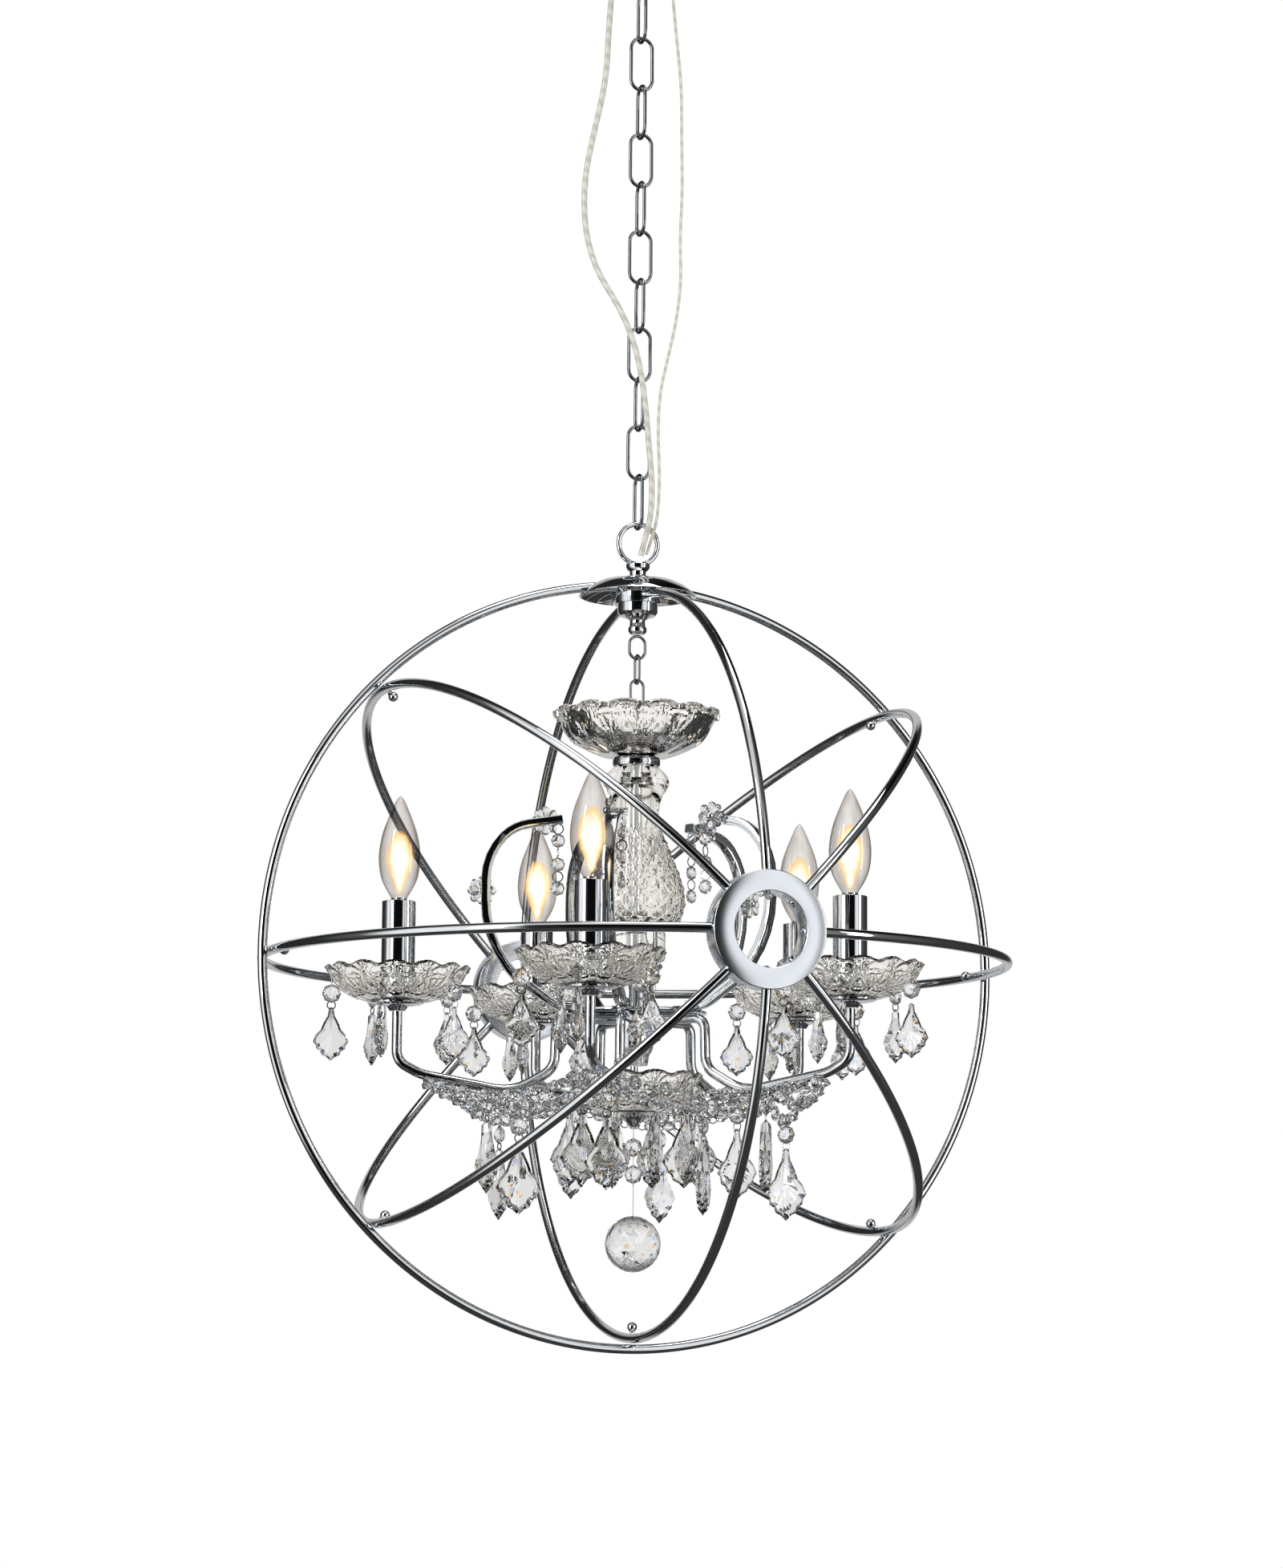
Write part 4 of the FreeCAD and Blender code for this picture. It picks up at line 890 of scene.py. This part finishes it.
arms = {
    "tube": 8.0,
    "tubeSides": 20,
    "corners": [(15.1, -44.7), (62, -44.7), (63, -84), (96, -103), (168, -90), (187, -80), (187, -41.3)],
    "bends": [9, 17, 40, 30, 14],
    "scrollCorners": [(46, -34.2), (62, -34.2), (95, -12), (119, 20), (119, 84), (97, 107), (59, 113)],
    "scrollBends": [16, 40, 85, 50, 34],
    "scrollThickness": 7.0,
    "scrollWidth": 9.0,
    "scrollBevel": 1.1,
}
lights = {
    "cup": [(0, -41), (6, -41), (7.5, -39), (8.2, -37.6), (14, -36.8), (18.6, -36), (20.7, -34.9),
            (20.7, -34), (0, -34)],
    "sleeve": [(12.3, -29.4), (13.3, -29.4), (13.3, 44.7), (13.0, 45.0), (12.5, 45.0), (12.3, 44.7),
               (12.3, -29.4)],
    "glassFoot": 46.0,
    "glass": [(5.95, 0, True), (7.0, 3), (11.4, 10.5), (14.8, 19), (16.3, 30), (16.0, 40), (13.8, 52),
              (9.8, 63.5), (5.4, 74), (2.6, 79.6), (0, 82.4)],       # heights above the glass's foot
    "screwFoot": [(0, 23), (3.0, 23), (5.4, 25.5)],
    "thread": (5.95, 5.5),                  # crest and root
    "threadStart": 26.5,
    "threadPitch": 2.4,
    "threadTurns": 8,
    "screwTop": [(5.95, 45.6), (5.95, 47.5), (0, 47.5)],
    "glow": [(0, 50), (2.2, 51), (4.4, 55), (7.0, 61), (10.6, 68), (13.0, 75), (13.2, 82), (11.2, 90),
             (7.6, 97), (3.6, 101), (0, 102)],
}


def bulbPieces():
    # the envelope, its screw base, and the glow inside, all drawn round the light's own axis, each with its
    # name, the start of the name of the node that it replaces, and its look
    foot, crest, root = lights["glassFoot"], *lights["thread"]
    shape = curvedProfile([(p[0], foot + p[1]) + p[2:] for p in lights["glass"]], steps=5)
    thread = []
    for i in range(lights["threadTurns"]):
        height = lights["threadStart"] + i * lights["threadPitch"]
        thread += [(crest, height), (root, height + lights["threadPitch"] / 2)]
    screw = lights["screwFoot"] + thread + lights["screwTop"]
    return ((spunPiece("bulbGlass", shape, steps=40, angle=60), "bulbGlass", ["bulb_"], bulbGlass),
            (spunPiece("bulbBase", screw, steps=28, angle=50), "bulbBase", [], chrome),
            (spunPiece("bulbGlow", lights["glow"], steps=32, angle=180), "bulbGlow", [], glow))


def buildLights():
    tube = bentBar("armTube", arms["corners"], arms["bends"], ("round", arms["tube"], arms["tubeSides"]))
    strip = bentBar("scrollStrip", arms["scrollCorners"], arms["scrollBends"],
                    ("flat", arms["scrollThickness"], arms["scrollWidth"], arms["scrollBevel"]), steps=9)
    cup = spunPiece("armCup", lights["cup"])
    sleeve = spunPiece("candleSleeve", lights["sleeve"], steps=48, angle=40)
    dish = glassDish("lightDish", dishes["light"])
    bulbParts = bulbPieces()
    strips, cups, sleeves = [], [], []
    for number, angle in enumerate(armAngles, 1):
        label = str(number)
        bulb = "bulb_" + label
        place = heading(angle) * mm(orb["armReach"])
        turn = angle - 90
        finishPiece(copyPiece(tube, "armTube" + label, turn), "cluster", "arm_" + label)
        finishPiece(copyPiece(dish, "lightDish" + label, angle, place), "cluster", "bobeche_" + label,
                    **inGlass)
        strips.append(copyPiece(strip, "strip", turn))
        cups.append(copyPiece(cup, "cup", turn, place))
        sleeves.append(copyPiece(sleeve, "sleeve", turn, place))
        for master, name, nodes, material in bulbParts:
            finishPiece(copyPiece(master, name + label, turn, place), bulb, *[n + label for n in nodes],
                        material=material, slotName="lit_bulb")
    finishPiece(joinPieces("scrollStrips", strips), "cluster", "scrolls")
    finishPiece(joinPieces("armCups", cups), "cluster", "arm_cups")
    finishPiece(joinPieces("candleSleeves", sleeves), "cluster", "candle_sleeves", slotName="candle_sleeve")
    for master in [tube, strip, cup, sleeve, dish] + [part[0] for part in bulbParts]:
        bpy.data.objects.remove(master)
    dressNode("lampholders", socketBlack)


buildLights()
print("arms and lights built")


cuts = {
    "bead": 15.0, "beadThickness": 8.0,
    "smallBead": 11.5, "smallBeadThickness": 7.0,
    "smallDrop": (28.0, 42.0, 8.0),         # width, length, thickness
    "largeDrop": (35.0, 57.0, 10.0),
    "petal": (7.4, 9.6, 4.0),
    "girdle": 0.8,
    "point": 0.8,                           # of the middle facets over the table's edge
    "beadSides": 8,
    "table": 0.2,                           # inset of the flat top, as a share of the stone's width
    "dropTable": 0.11,
    "pin": 0.9,
    "pinSides": 8,
    "pinBevel": 0.15,
    "ringWire": 1.0,
    "dropEdge": [(0.07, 0.03), (0.10, 0.16), (0.22, 0.31), (0.28, 0.42), (0.41, 0.51), (0.5, 0.64),
                 (0.42, 0.71), (0.40, 0.78), (0.29, 0.82), (0.25, 0.89), (0.12, 0.93)],
    "petalEdge": [(0.12, 0.0), (0.34, 0.3), (0.5, 0.62), (0.36, 0.86)],
}
inCrystal = {"material": crystal, "slotName": "crystal"}


def cutGem(name, edge, thickness, table):
    # an outline of (across, down) points, given a girdle, sloping facets and a raised middle
    piece = drawnLine(name, [(across, -down) for across, down in edge])
    bpy.ops.mesh.edge_face_add()
    bpy.ops.mesh.extrude_region_move(TRANSFORM_OT_translate={"value": (0, mm(cuts["girdle"]), 0)})
    selectAll()
    bpy.ops.transform.translate(value=(0, -mm(cuts["girdle"] / 2), 0))
    bpy.ops.mesh.normals_make_consistent(inside=False)
    selectWhere(piece, "FACE", lambda face: abs(face.normal.y) > orb["flat"])
    bpy.ops.mesh.inset(thickness=mm(table), depth=mm((thickness - cuts["girdle"]) / 2 - cuts["point"]))
    bpy.ops.mesh.poke(offset=mm(cuts["point"]))
    mode("OBJECT")
    return piece


def mirroredEdge(shares, size):
    # one side of a stone's outline from shares of its size, then its tip and the other side
    half = [(size[0] * across, size[1] * down) for across, down in shares]
    return half + [(0, size[1])] + [(-across, down) for across, down in reversed(half)]


def dropGem(name, size):
    return cutGem(name, [(0, 0)] + mirroredEdge(cuts["dropEdge"], size), size[2],
                  size[0] * cuts["dropTable"])


def petalGem(name, size):
    return cutGem(name, mirroredEdge(cuts["petalEdge"], size), size[2], size[0] * cuts["table"])


def beadGem(name, size, thickness):
    half = size / 2
    edge = [(half * math.sin(math.radians(a)), half - half * math.cos(math.radians(a)))
            for a in range(0, 360, 360 // cuts["beadSides"])]
    return cutGem(name, edge, thickness, size * cuts["table"])


gems = {
    "bead": beadGem("beadMaster", cuts["bead"], cuts["beadThickness"]),
    "small": beadGem("smallBeadMaster", cuts["smallBead"], cuts["smallBeadThickness"]),
    "petal": petalGem("petalMaster", cuts["petal"]),
    "smallDrop": dropGem("smallDropMaster", cuts["smallDrop"]),
    "largeDrop": dropGem("largeDropMaster", cuts["largeDrop"]),
}


def turnTo(facing):
    # degrees about Z that bring a gem's flat side round to a level direction
    return math.degrees(math.atan2(facing.y, facing.x)) + 90


def placeGem(kind, top, facing):
    return copyPiece(gems[kind], kind, turnTo(facing), mm(top))


def pinWire(top, low):
    deselect()
    bpy.ops.mesh.primitive_cylinder_add(vertices=cuts["pinSides"], radius=mm(cuts["pin"] / 2),
                                        depth=mm(top.z - low))
    piece = newPiece("pin")
    edit(piece)
    bpy.ops.mesh.bevel(offset=mm(cuts["pinBevel"]), segments=1, affect="EDGES")
    mode("OBJECT")
    return moveMesh(piece, place=(mm(top.x), mm(top.y), mm((top.z + low) / 2)))


def jumpRing(middle, facing, size):
    # a thin ring through the holes of two stones
    ring = moveMesh(ringPiece("jumpRing", size / 2, cuts["ringWire"], steps=16, sides=6), 90, axis="X")
    return moveMesh(ring, turnTo(facing), mm(middle))


hung = {
    "ringGap": 3.0,                         # from a bead to the drop under it
    "ringSize": 6.4,
    "rim": {"count": 5, "inset": 4.0, "gap": 0.3, "wire": 9.0},
    "skirt": {"count": 10, "inset": 3.0, "gap": 0.7, "wire": 8.0, "turn": 62},
    "underSwag": {"gap": 0.3, "wire": 3.0, "turn": 91},
    "underArm": {"share": 0.77, "wire": 4.0, "turn": 20},
    "strings": [(150.0, 24.0, 12), (118.0, 13.0, 10), (166.0, 14.0, 15)],     # reach, sag, beads
    "stringGap": 1.3,                       # from an arm's underside to a string's ends
    "stringRing": 7.0,
    "armUnder": 0.45,                       # the arm's underside, as a share of its tube
}


def hang(stones, pins, top, facing, drop, wire):
    # pin, bead, ring and drop under a point
    beadTop = top - up * wire
    dropTop = beadTop - up * (cuts["bead"] + hung["ringGap"])
    stones += [placeGem("bead", beadTop, facing), placeGem(drop, dropTop, facing)]
    middle = dropTop + up * (hung["ringGap"] / 2)
    pins += [pinWire(top, beadTop.z), jumpRing(middle, facing, hung["ringSize"])]


def dishEdge(size, inset):
    # reach and height of the underside of a dish, a little in from its rim
    half = size["size"] / 2
    belly, bellyHeight = dishBelly(size)
    return half - inset, size["rim"] - (size["rim"] - bellyHeight) * inset / (half - belly)


def rimPlace(angle, turn):
    reach, height = dishEdge(dishes["light"], hung["rim"]["inset"])
    place = heading(angle) * orb["armReach"] + heading(angle + turn) * reach
    return place + up * (height - hung["rim"]["gap"])


def armLow(reach):
    near, far = arms["corners"][3:5]
    slope = (far[1] - near[1]) / (far[0] - near[0])
    return near[1] + slope * (reach - near[0]) - arms["tube"] * hung["armUnder"]


def stringLine(angle, reach, sag, beads):
    # the hanging line of a string of beads from one arm to the next, a millimetre in from each
    low = up * (armLow(reach) - hung["stringGap"])
    start, end = heading(angle) * reach + low, heading(angle + armStep) * reach + low
    aside = (end - start).normalized()
    start, end = start + aside, end - aside
    shares = [i / beads for i in range(beads + 1)]
    return [start + (end - start) * share - up * (4 * sag * share * (1 - share)) for share in shares]


def garlands(pins):
    # cut beads on their edges, tied with thin rings, along each hanging line
    stones = []
    for line in [stringLine(angle, *string) for string in hung["strings"] for angle in armAngles]:
        for i, (a, b) in enumerate(zip(line[:-1], line[1:])):
            stone = copyPiece(gems["small"], "bead", 90 * (i % 2), up * mm(cuts["smallBead"] / 2))
            stone.data.transform(Matrix.Translation(mm((a + b) / 2)) @ lean(b - a))
            stones.append(stone)
            if i:
                pins.append(jumpRing(a, (b - a).cross(up), hung["stringRing"]))
    return stones


scrollStones = {
    "petals": 8,
    "sink": 2.2,                            # of a petal's tip below the rosette's middle
    "stand": (2.6, 1.6),                    # from the scroll's side, and how much more every other petal
    "button": [(0, 3.0), (1.6, 2.7), (2.8, 1.7), (3.2, 0), (2.8, -2.4), (0, -2.4)],
    "buttonStand": 5.6,
    "rosettes": ((71, 112.5), (121, 56)),
    "aside": 4.8,                           # from the scroll's middle to its side
    "strandTop": (62, 109.7),
    "strandBeads": 3,
    "strandPitch": 19.0,
    "strandRing": (4.4, 8.2),               # how far down, and its size
    "strandBead": 8.0,
}


def rosette(stones, pins, middle, across):
    # petals round a small button, standing off the scroll
    near, further = scrollStones["stand"]
    for i in range(scrollStones["petals"]):
        stone = copyPiece(gems["petal"], "petal", 0, -up * mm(scrollStones["sink"]))
        moveMesh(stone, 360 / scrollStones["petals"] * i, axis="Y")
        stones.append(moveMesh(stone, turnTo(across), mm(middle + across * (near + further * (i % 2)))))
    button = moveMesh(spunPiece("button", scrollStones["button"], steps=16, angle=50), 90, axis="X")
    pins.append(moveMesh(button, turnTo(across), mm(middle + across * scrollStones["buttonStand"])))


def tipStrand(stones, pins, top, across):
    # rings and beads by turns under a scroll's tip
    down, size = scrollStones["strandRing"]
    for i in range(scrollStones["strandBeads"]):
        low = top - up * (scrollStones["strandPitch"] * i)
        pins.append(jumpRing(low - up * down, across.cross(up) if i % 2 else across, size))
        stones.append(placeGem("small", low - up * scrollStones["strandBead"], across))


ballStrand = {
    "top": -129.3,                          # the finial's tip
    "pinStart": 0.4,
    "firstBead": 8.0,
    "beadPitch": 21.0,
    "lastPin": -198.0,
    "ball": 22.0,
    "ballHeight": -220.0,
    "ballCuts": 3,                          # how often its faces are divided
    "ballMerge": 0.7,                       # how flat a pair of triangles has to be, to make one facet
}


def buildBall():
    length = up * cuts["bead"]
    top = up * ballStrand["top"]
    first = top - up * ballStrand["firstBead"]
    second = first - up * ballStrand["beadPitch"]
    strand = [placeGem("bead", first, heading(0)), placeGem("bead", second, heading(0))]
    pins = [pinWire(top - up * ballStrand["pinStart"], first.z), pinWire(first - length, second.z),
            pinWire(second - length, ballStrand["lastPin"])]
    finishPiece(joinPieces("ballBeads", strand), "ball", "ball_strand", **inCrystal)
    finishPiece(joinPieces("ballPins", pins), "ball")
    deselect()
    bpy.ops.mesh.primitive_ico_sphere_add(subdivisions=ballStrand["ballCuts"], radius=mm(ballStrand["ball"]))
    ball = newPiece("cutBall")
    edit(ball)
    merge = ballStrand["ballMerge"]
    bpy.ops.mesh.tris_convert_to_quads(face_threshold=merge, shape_threshold=merge)
    mode("OBJECT")
    finishPiece(moveMesh(ball, place=up * mm(ballStrand["ballHeight"])), "ball", "crystal_ball", **inCrystal)


def buildCrystals():
    stones, pins = [], []
    rim, skirt, underSwag, underArm = [hung[key] for key in ("rim", "skirt", "underSwag", "underArm")]
    for number, angle in enumerate(armAngles, 1):
        label = str(number)
        some, wires = [], []
        hang(some, wires, rimPlace(angle, 0), heading(angle + 90), "smallDrop", rim["wire"])
        finishPiece(joinPieces("outerPendant" + label, some), "pendant_" + label, "outer_pendant_" + label,
                    **inCrystal)
        finishPiece(joinPieces("outerPin" + label, wires), "pendant_" + label, slotName="crystal")
        for turn in [360.0 / rim["count"] * i for i in range(1, rim["count"])]:
            hang(stones, pins, rimPlace(angle, turn), heading(angle + turn + 90), "smallDrop", rim["wire"])
    finishPiece(joinPieces("rimStones", stones), "cluster", "rim_pendants", **inCrystal)
    finishPiece(joinPieces("garlandStones", garlands(pins)), "cluster", "swags", **inCrystal)

    stones = []
    for angle in armAngles:
        line = stringLine(angle, *hung["strings"][0])
        hang(stones, pins, line[len(line) // 2] - up * underSwag["gap"], heading(angle + underSwag["turn"]),
             "largeDrop", underSwag["wire"])
        reach = hung["strings"][0][0] * underArm["share"]
        hang(stones, pins, heading(angle) * reach + up * armLow(reach), heading(angle + underArm["turn"]),
             "largeDrop", underArm["wire"])
    reach, height = dishEdge(dishes["lower"], skirt["inset"])
    for i in range(skirt["count"]):
        turn = 360.0 / skirt["count"] * i
        hang(stones, pins, heading(turn) * reach + up * (height - skirt["gap"]),
             heading(turn + skirt["turn"]), "largeDrop", skirt["wire"])
    finishPiece(joinPieces("largeStones", stones), "cluster", "large_pendants", **inCrystal)

    stones = []
    for angle in armAngles:
        out = heading(angle)
        across = out.cross(up)
        for reach, height in scrollStones["rosettes"]:
            rosette(stones, pins, out * reach + up * height + across * scrollStones["aside"], across)
        reach, height = scrollStones["strandTop"]
        tipStrand(stones, pins, out * reach + up * height, across)
    finishPiece(joinPieces("scrollStones", stones), "cluster", "scroll_crystals", **inCrystal)
    finishPiece(joinPieces("hangingPins", pins), "cluster")
    buildBall()
    for gem in gems.values():
        bpy.data.objects.remove(gem)


buildCrystals()
print("crystals built")


cords = {
    "powerCord": {
        "node": "power_cord", "size": 4.6, "length": 526.0,
        "route": [(-24, 0, 837.6), (-25, 0, 806), (-27, 4, 764), (-28, 7, 718), (-37, 13, 672),
                  (-43, 15, 638), (-43, 15, 602), (-38, 13, 575), (-31, 6, 553), (-21, -3, 532),
                  (-12, -9, 510), (-5, -13, 484), (0, -15, 450), (3, -16, 414), (6, -17, 380),
                  (5, -15.5, 354), (2, -9.5, 337), (0, -7, 325.5)]},
    "groundWire": {
        "node": "ground_wire", "size": 2.4, "length": 516.0,
        "route": [(24, 0, 837.6), (25, -1, 806), (28, -4, 762), (31, -10, 716), (31, -11, 670),
                  (32, -11, 628), (30, -11, 588), (31, -12, 552), (27, -13, 520), (19, -16, 488),
                  (11, -19, 458), (9, -20, 424), (11, -20, 388), (11, -16, 356), (8, -9, 338),
                  (5, -6, 327)]},
}


def layCord(name, node, size, length, route):
    curve = bpy.data.curves.new(name, "CURVE")
    curve.dimensions = "3D"
    curve.bevel_depth = mm(size / 2)
    curve.bevel_resolution = 5
    curve.resolution_u = 12
    curve.use_fill_caps = True
    line = curve.splines.new("NURBS")
    line.points.add(len(route) - 1)
    places = [mm(Vector(place)) + orbMiddle for place in route]
    for point, place in zip(line.points, places):
        point.co = (place.x, place.y, place.z, 1)
    line.order_u = 3
    line.use_endpoint_u = True
    piece = bpy.data.objects.new(name, curve)
    bpy.context.collection.objects.link(piece)
    curve.materials.append(cordPvc)
    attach(piece, "chain")
    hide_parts(node)


for name, cord in cords.items():
    layCord(name, **cord)
print("cords laid")


view = {
    "turn": math.radians(19.16),            # the camera stands to the left of the front hub
    "rise": -0.1353,                        # and below, looking up
    "roll": 0.0074,
    "distance": 3183.0,
    "target": (4.18, 0.0, 142.8),
    "lens": 92.13,
}
room = {
    # share of a turn from right behind the lamp, and how bright the wall is there
    "walls": [(0.0, 0.55), (0.07, 0.5), (0.10, 0.02), (0.19, 0.03), (0.25, 0.12), (0.285, 1.0),
              (0.385, 1.0), (0.41, 0.03), (0.45, 0.003), (0.575, 0.003), (0.598, 0.9), (0.64, 1.0),
              (0.665, 0.2), (0.73, 0.12), (0.79, 0.05), (0.90, 0.03), (0.94, 0.04), (0.96, 0.5),
              (1.0, 0.55)],
    "floor": 0.04,
    "ceiling": (-0.3, 0.1, 0.7, 0.02),      # bright over the camera, dark over the back wall
    "ceilingRight": (0.05, 0.3, 1.0, 0.15),
    "wallTop": (0.55, 0.68),
    "wallFoot": (-0.45, -0.6),
    "glassRise": (0.25, 0.8, 1.0, 0.32),    # what glass passes, from level to upright
    "glassSides": (0.0, 1.0, 0.56, 1.0),
    "glassBack": (0.2, 0.8),
    "fill": 0.75,
}
softBoxes = {
    "leftBox": ((-2.2, -1.2, 0.8), (0.5, 2.0), 18),                 # place and size in metres, watts
    "rightBox": ((2.0, -1.8, 0.2), (0.35, 2.0), 14),
    "topBox": ((0.2, -0.4, 2.4), (1.2, 1.2), 14),
}


def buildWorld():
    # white behind the lamp; metal picks up tall soft boxes with a dark flag by the camera, glass a paler room
    world = bpy.data.worlds.new("white studio")
    bpy.context.scene.world = world
    world.use_nodes = True
    tree = world.node_tree
    tree.nodes.clear()
    path = addNode(tree, "LightPath")
    place = addNode(tree, "TexCoord")
    part = addNode(tree, "SeparateXYZ", {}, {"Vector": (place, "Generated")})
    back = addNode(tree, "Math", {"operation": "MULTIPLY", 1: -1.0}, {0: (part, "Y")})
    turn = addNode(tree, "Math", {"operation": "ARCTAN2"}, {0: (part, "X"), 1: (back, 0)})
    share = addNode(tree, "Math", {"operation": "MULTIPLY_ADD", 1: 0.5 / math.pi,
                                   2: 1.5 + view["turn"] / (2 * math.pi)}, {0: (turn, 0)})
    around = addNode(tree, "Math", {"operation": "FRACT"}, {0: (share, 0)})
    walls = addNode(tree, "ValToRGB", {"stops": room["walls"]}, {"Fac": (around, 0)})
    sine, cosine = math.sin(view["turn"]), math.cos(view["turn"])
    onward = addNode(tree, "VectorMath", {"operation": "DOT_PRODUCT", 1: (sine, cosine, 0)},
                     {0: (place, "Generated")})
    aside = addNode(tree, "VectorMath", {"operation": "DOT_PRODUCT", 1: (cosine, -sine, 0)},
                    {0: (place, "Generated")})
    parts = {}
    for key, source, output in (("ceiling", onward, "Value"), ("ceilingRight", aside, "Value"),
                                ("wallTop", part, "Z"), ("wallFoot", part, "Z"),
                                ("glassSides", walls, "Color"), ("glassBack", onward, "Value")):
        parts[key] = (addNode(tree, "MapRange", span(*room[key]), {"Value": (source, output)}), "Result")
    overhead = addNode(tree, "Math", {"operation": "MULTIPLY"},
                       {0: parts["ceiling"], 1: parts["ceilingRight"]})
    upper = addNode(tree, "Mix", {"data_type": "RGBA"},
                    {0: parts["wallTop"], 6: (walls, "Color"), 7: (overhead, 0)})
    whole = addNode(tree, "Mix", {"data_type": "RGBA", 7: (room["floor"],) * 3 + (1,)},
                    {0: parts["wallFoot"], 6: (upper, 2)})
    mirror = addNode(tree, "Background", {"Strength": 1.0}, {"Color": (whole, 2)})
    rise = addNode(tree, "Math", {"operation": "ABSOLUTE"}, {0: (part, "Z")})
    level = addNode(tree, "MapRange", span(*room["glassRise"], interpolation_type="SMOOTHSTEP"),
                    {"Value": (rise, 0)})
    sides = addNode(tree, "Mix", {"data_type": "FLOAT", 3: 1.0},
                    {0: parts["glassBack"], 2: parts["glassSides"]})
    through = addNode(tree, "Math", {"operation": "MULTIPLY"}, {0: (level, "Result"), 1: (sides, 0)})
    behind = addNode(tree, "Background", {"Strength": 1.0}, {"Color": (through, 0)})
    soft = addNode(tree, "Background", {"Color": "#ffffff", "Strength": room["fill"]})
    onMetal = addNode(tree, "MixShader", {}, {0: (path, "Is Glossy Ray"), 1: (soft, 0), 2: (mirror, 0)})
    inRoom = addNode(tree, "MixShader", {},
                     {0: (path, "Is Transmission Ray"), 1: (onMetal, 0), 2: (behind, 0)})
    white = addNode(tree, "Background", {"Color": "#ffffff", "Strength": 1.0})
    seen = addNode(tree, "MixShader", {}, {0: (path, "Is Camera Ray"), 1: (inRoom, 0), 2: (white, 0)})
    addNode(tree, "OutputWorld", {}, {"Surface": (seen, 0)})


def fromCameraFrame(point):
    # the view was worked out in a frame turned with the camera; this turns it back, in metres
    c, s = math.cos(view["turn"]), math.sin(view["turn"])
    return mm(Vector((point[0] * c + point[1] * s, -point[0] * s + point[1] * c, point[2]))) + orbMiddle


def lookAt(place, target):
    return Matrix.Translation(place) @ (target - place).to_track_quat("-Z", "Y").to_matrix().to_4x4()


def addHolder(name, data):
    holder = bpy.data.objects.new(name, data)
    bpy.context.collection.objects.link(holder)
    return holder


def placeCamera():
    away = (0, -math.cos(view["rise"]) * view["distance"], math.sin(view["rise"]) * view["distance"])
    place = fromCameraFrame(tuple(t + a for t, a in zip(view["target"], away)))
    camera = bpy.data.cameras.new("camera")
    camera.lens = view["lens"]
    camera.sensor_width = 36
    camera.clip_end = 50
    holder = addHolder("camera", camera)
    turned = Matrix.Rotation(view["roll"], 4, "Z")
    holder.matrix_world = lookAt(place, fromCameraFrame(view["target"])) @ turned
    bpy.context.scene.camera = holder
    bpy.context.scene.view_settings.view_transform = "Standard"


def softBox(name, place, size, power):
    lamp = bpy.data.lights.new(name, "AREA")
    lamp.shape = "RECTANGLE"
    lamp.size, lamp.size_y = size
    lamp.energy = power
    addHolder(name, lamp).matrix_world = lookAt(Vector(place) + orbMiddle, orbMiddle)


buildWorld()
placeCamera()
for name, box in softBoxes.items():
    softBox(name, *box)
print("light and camera set")
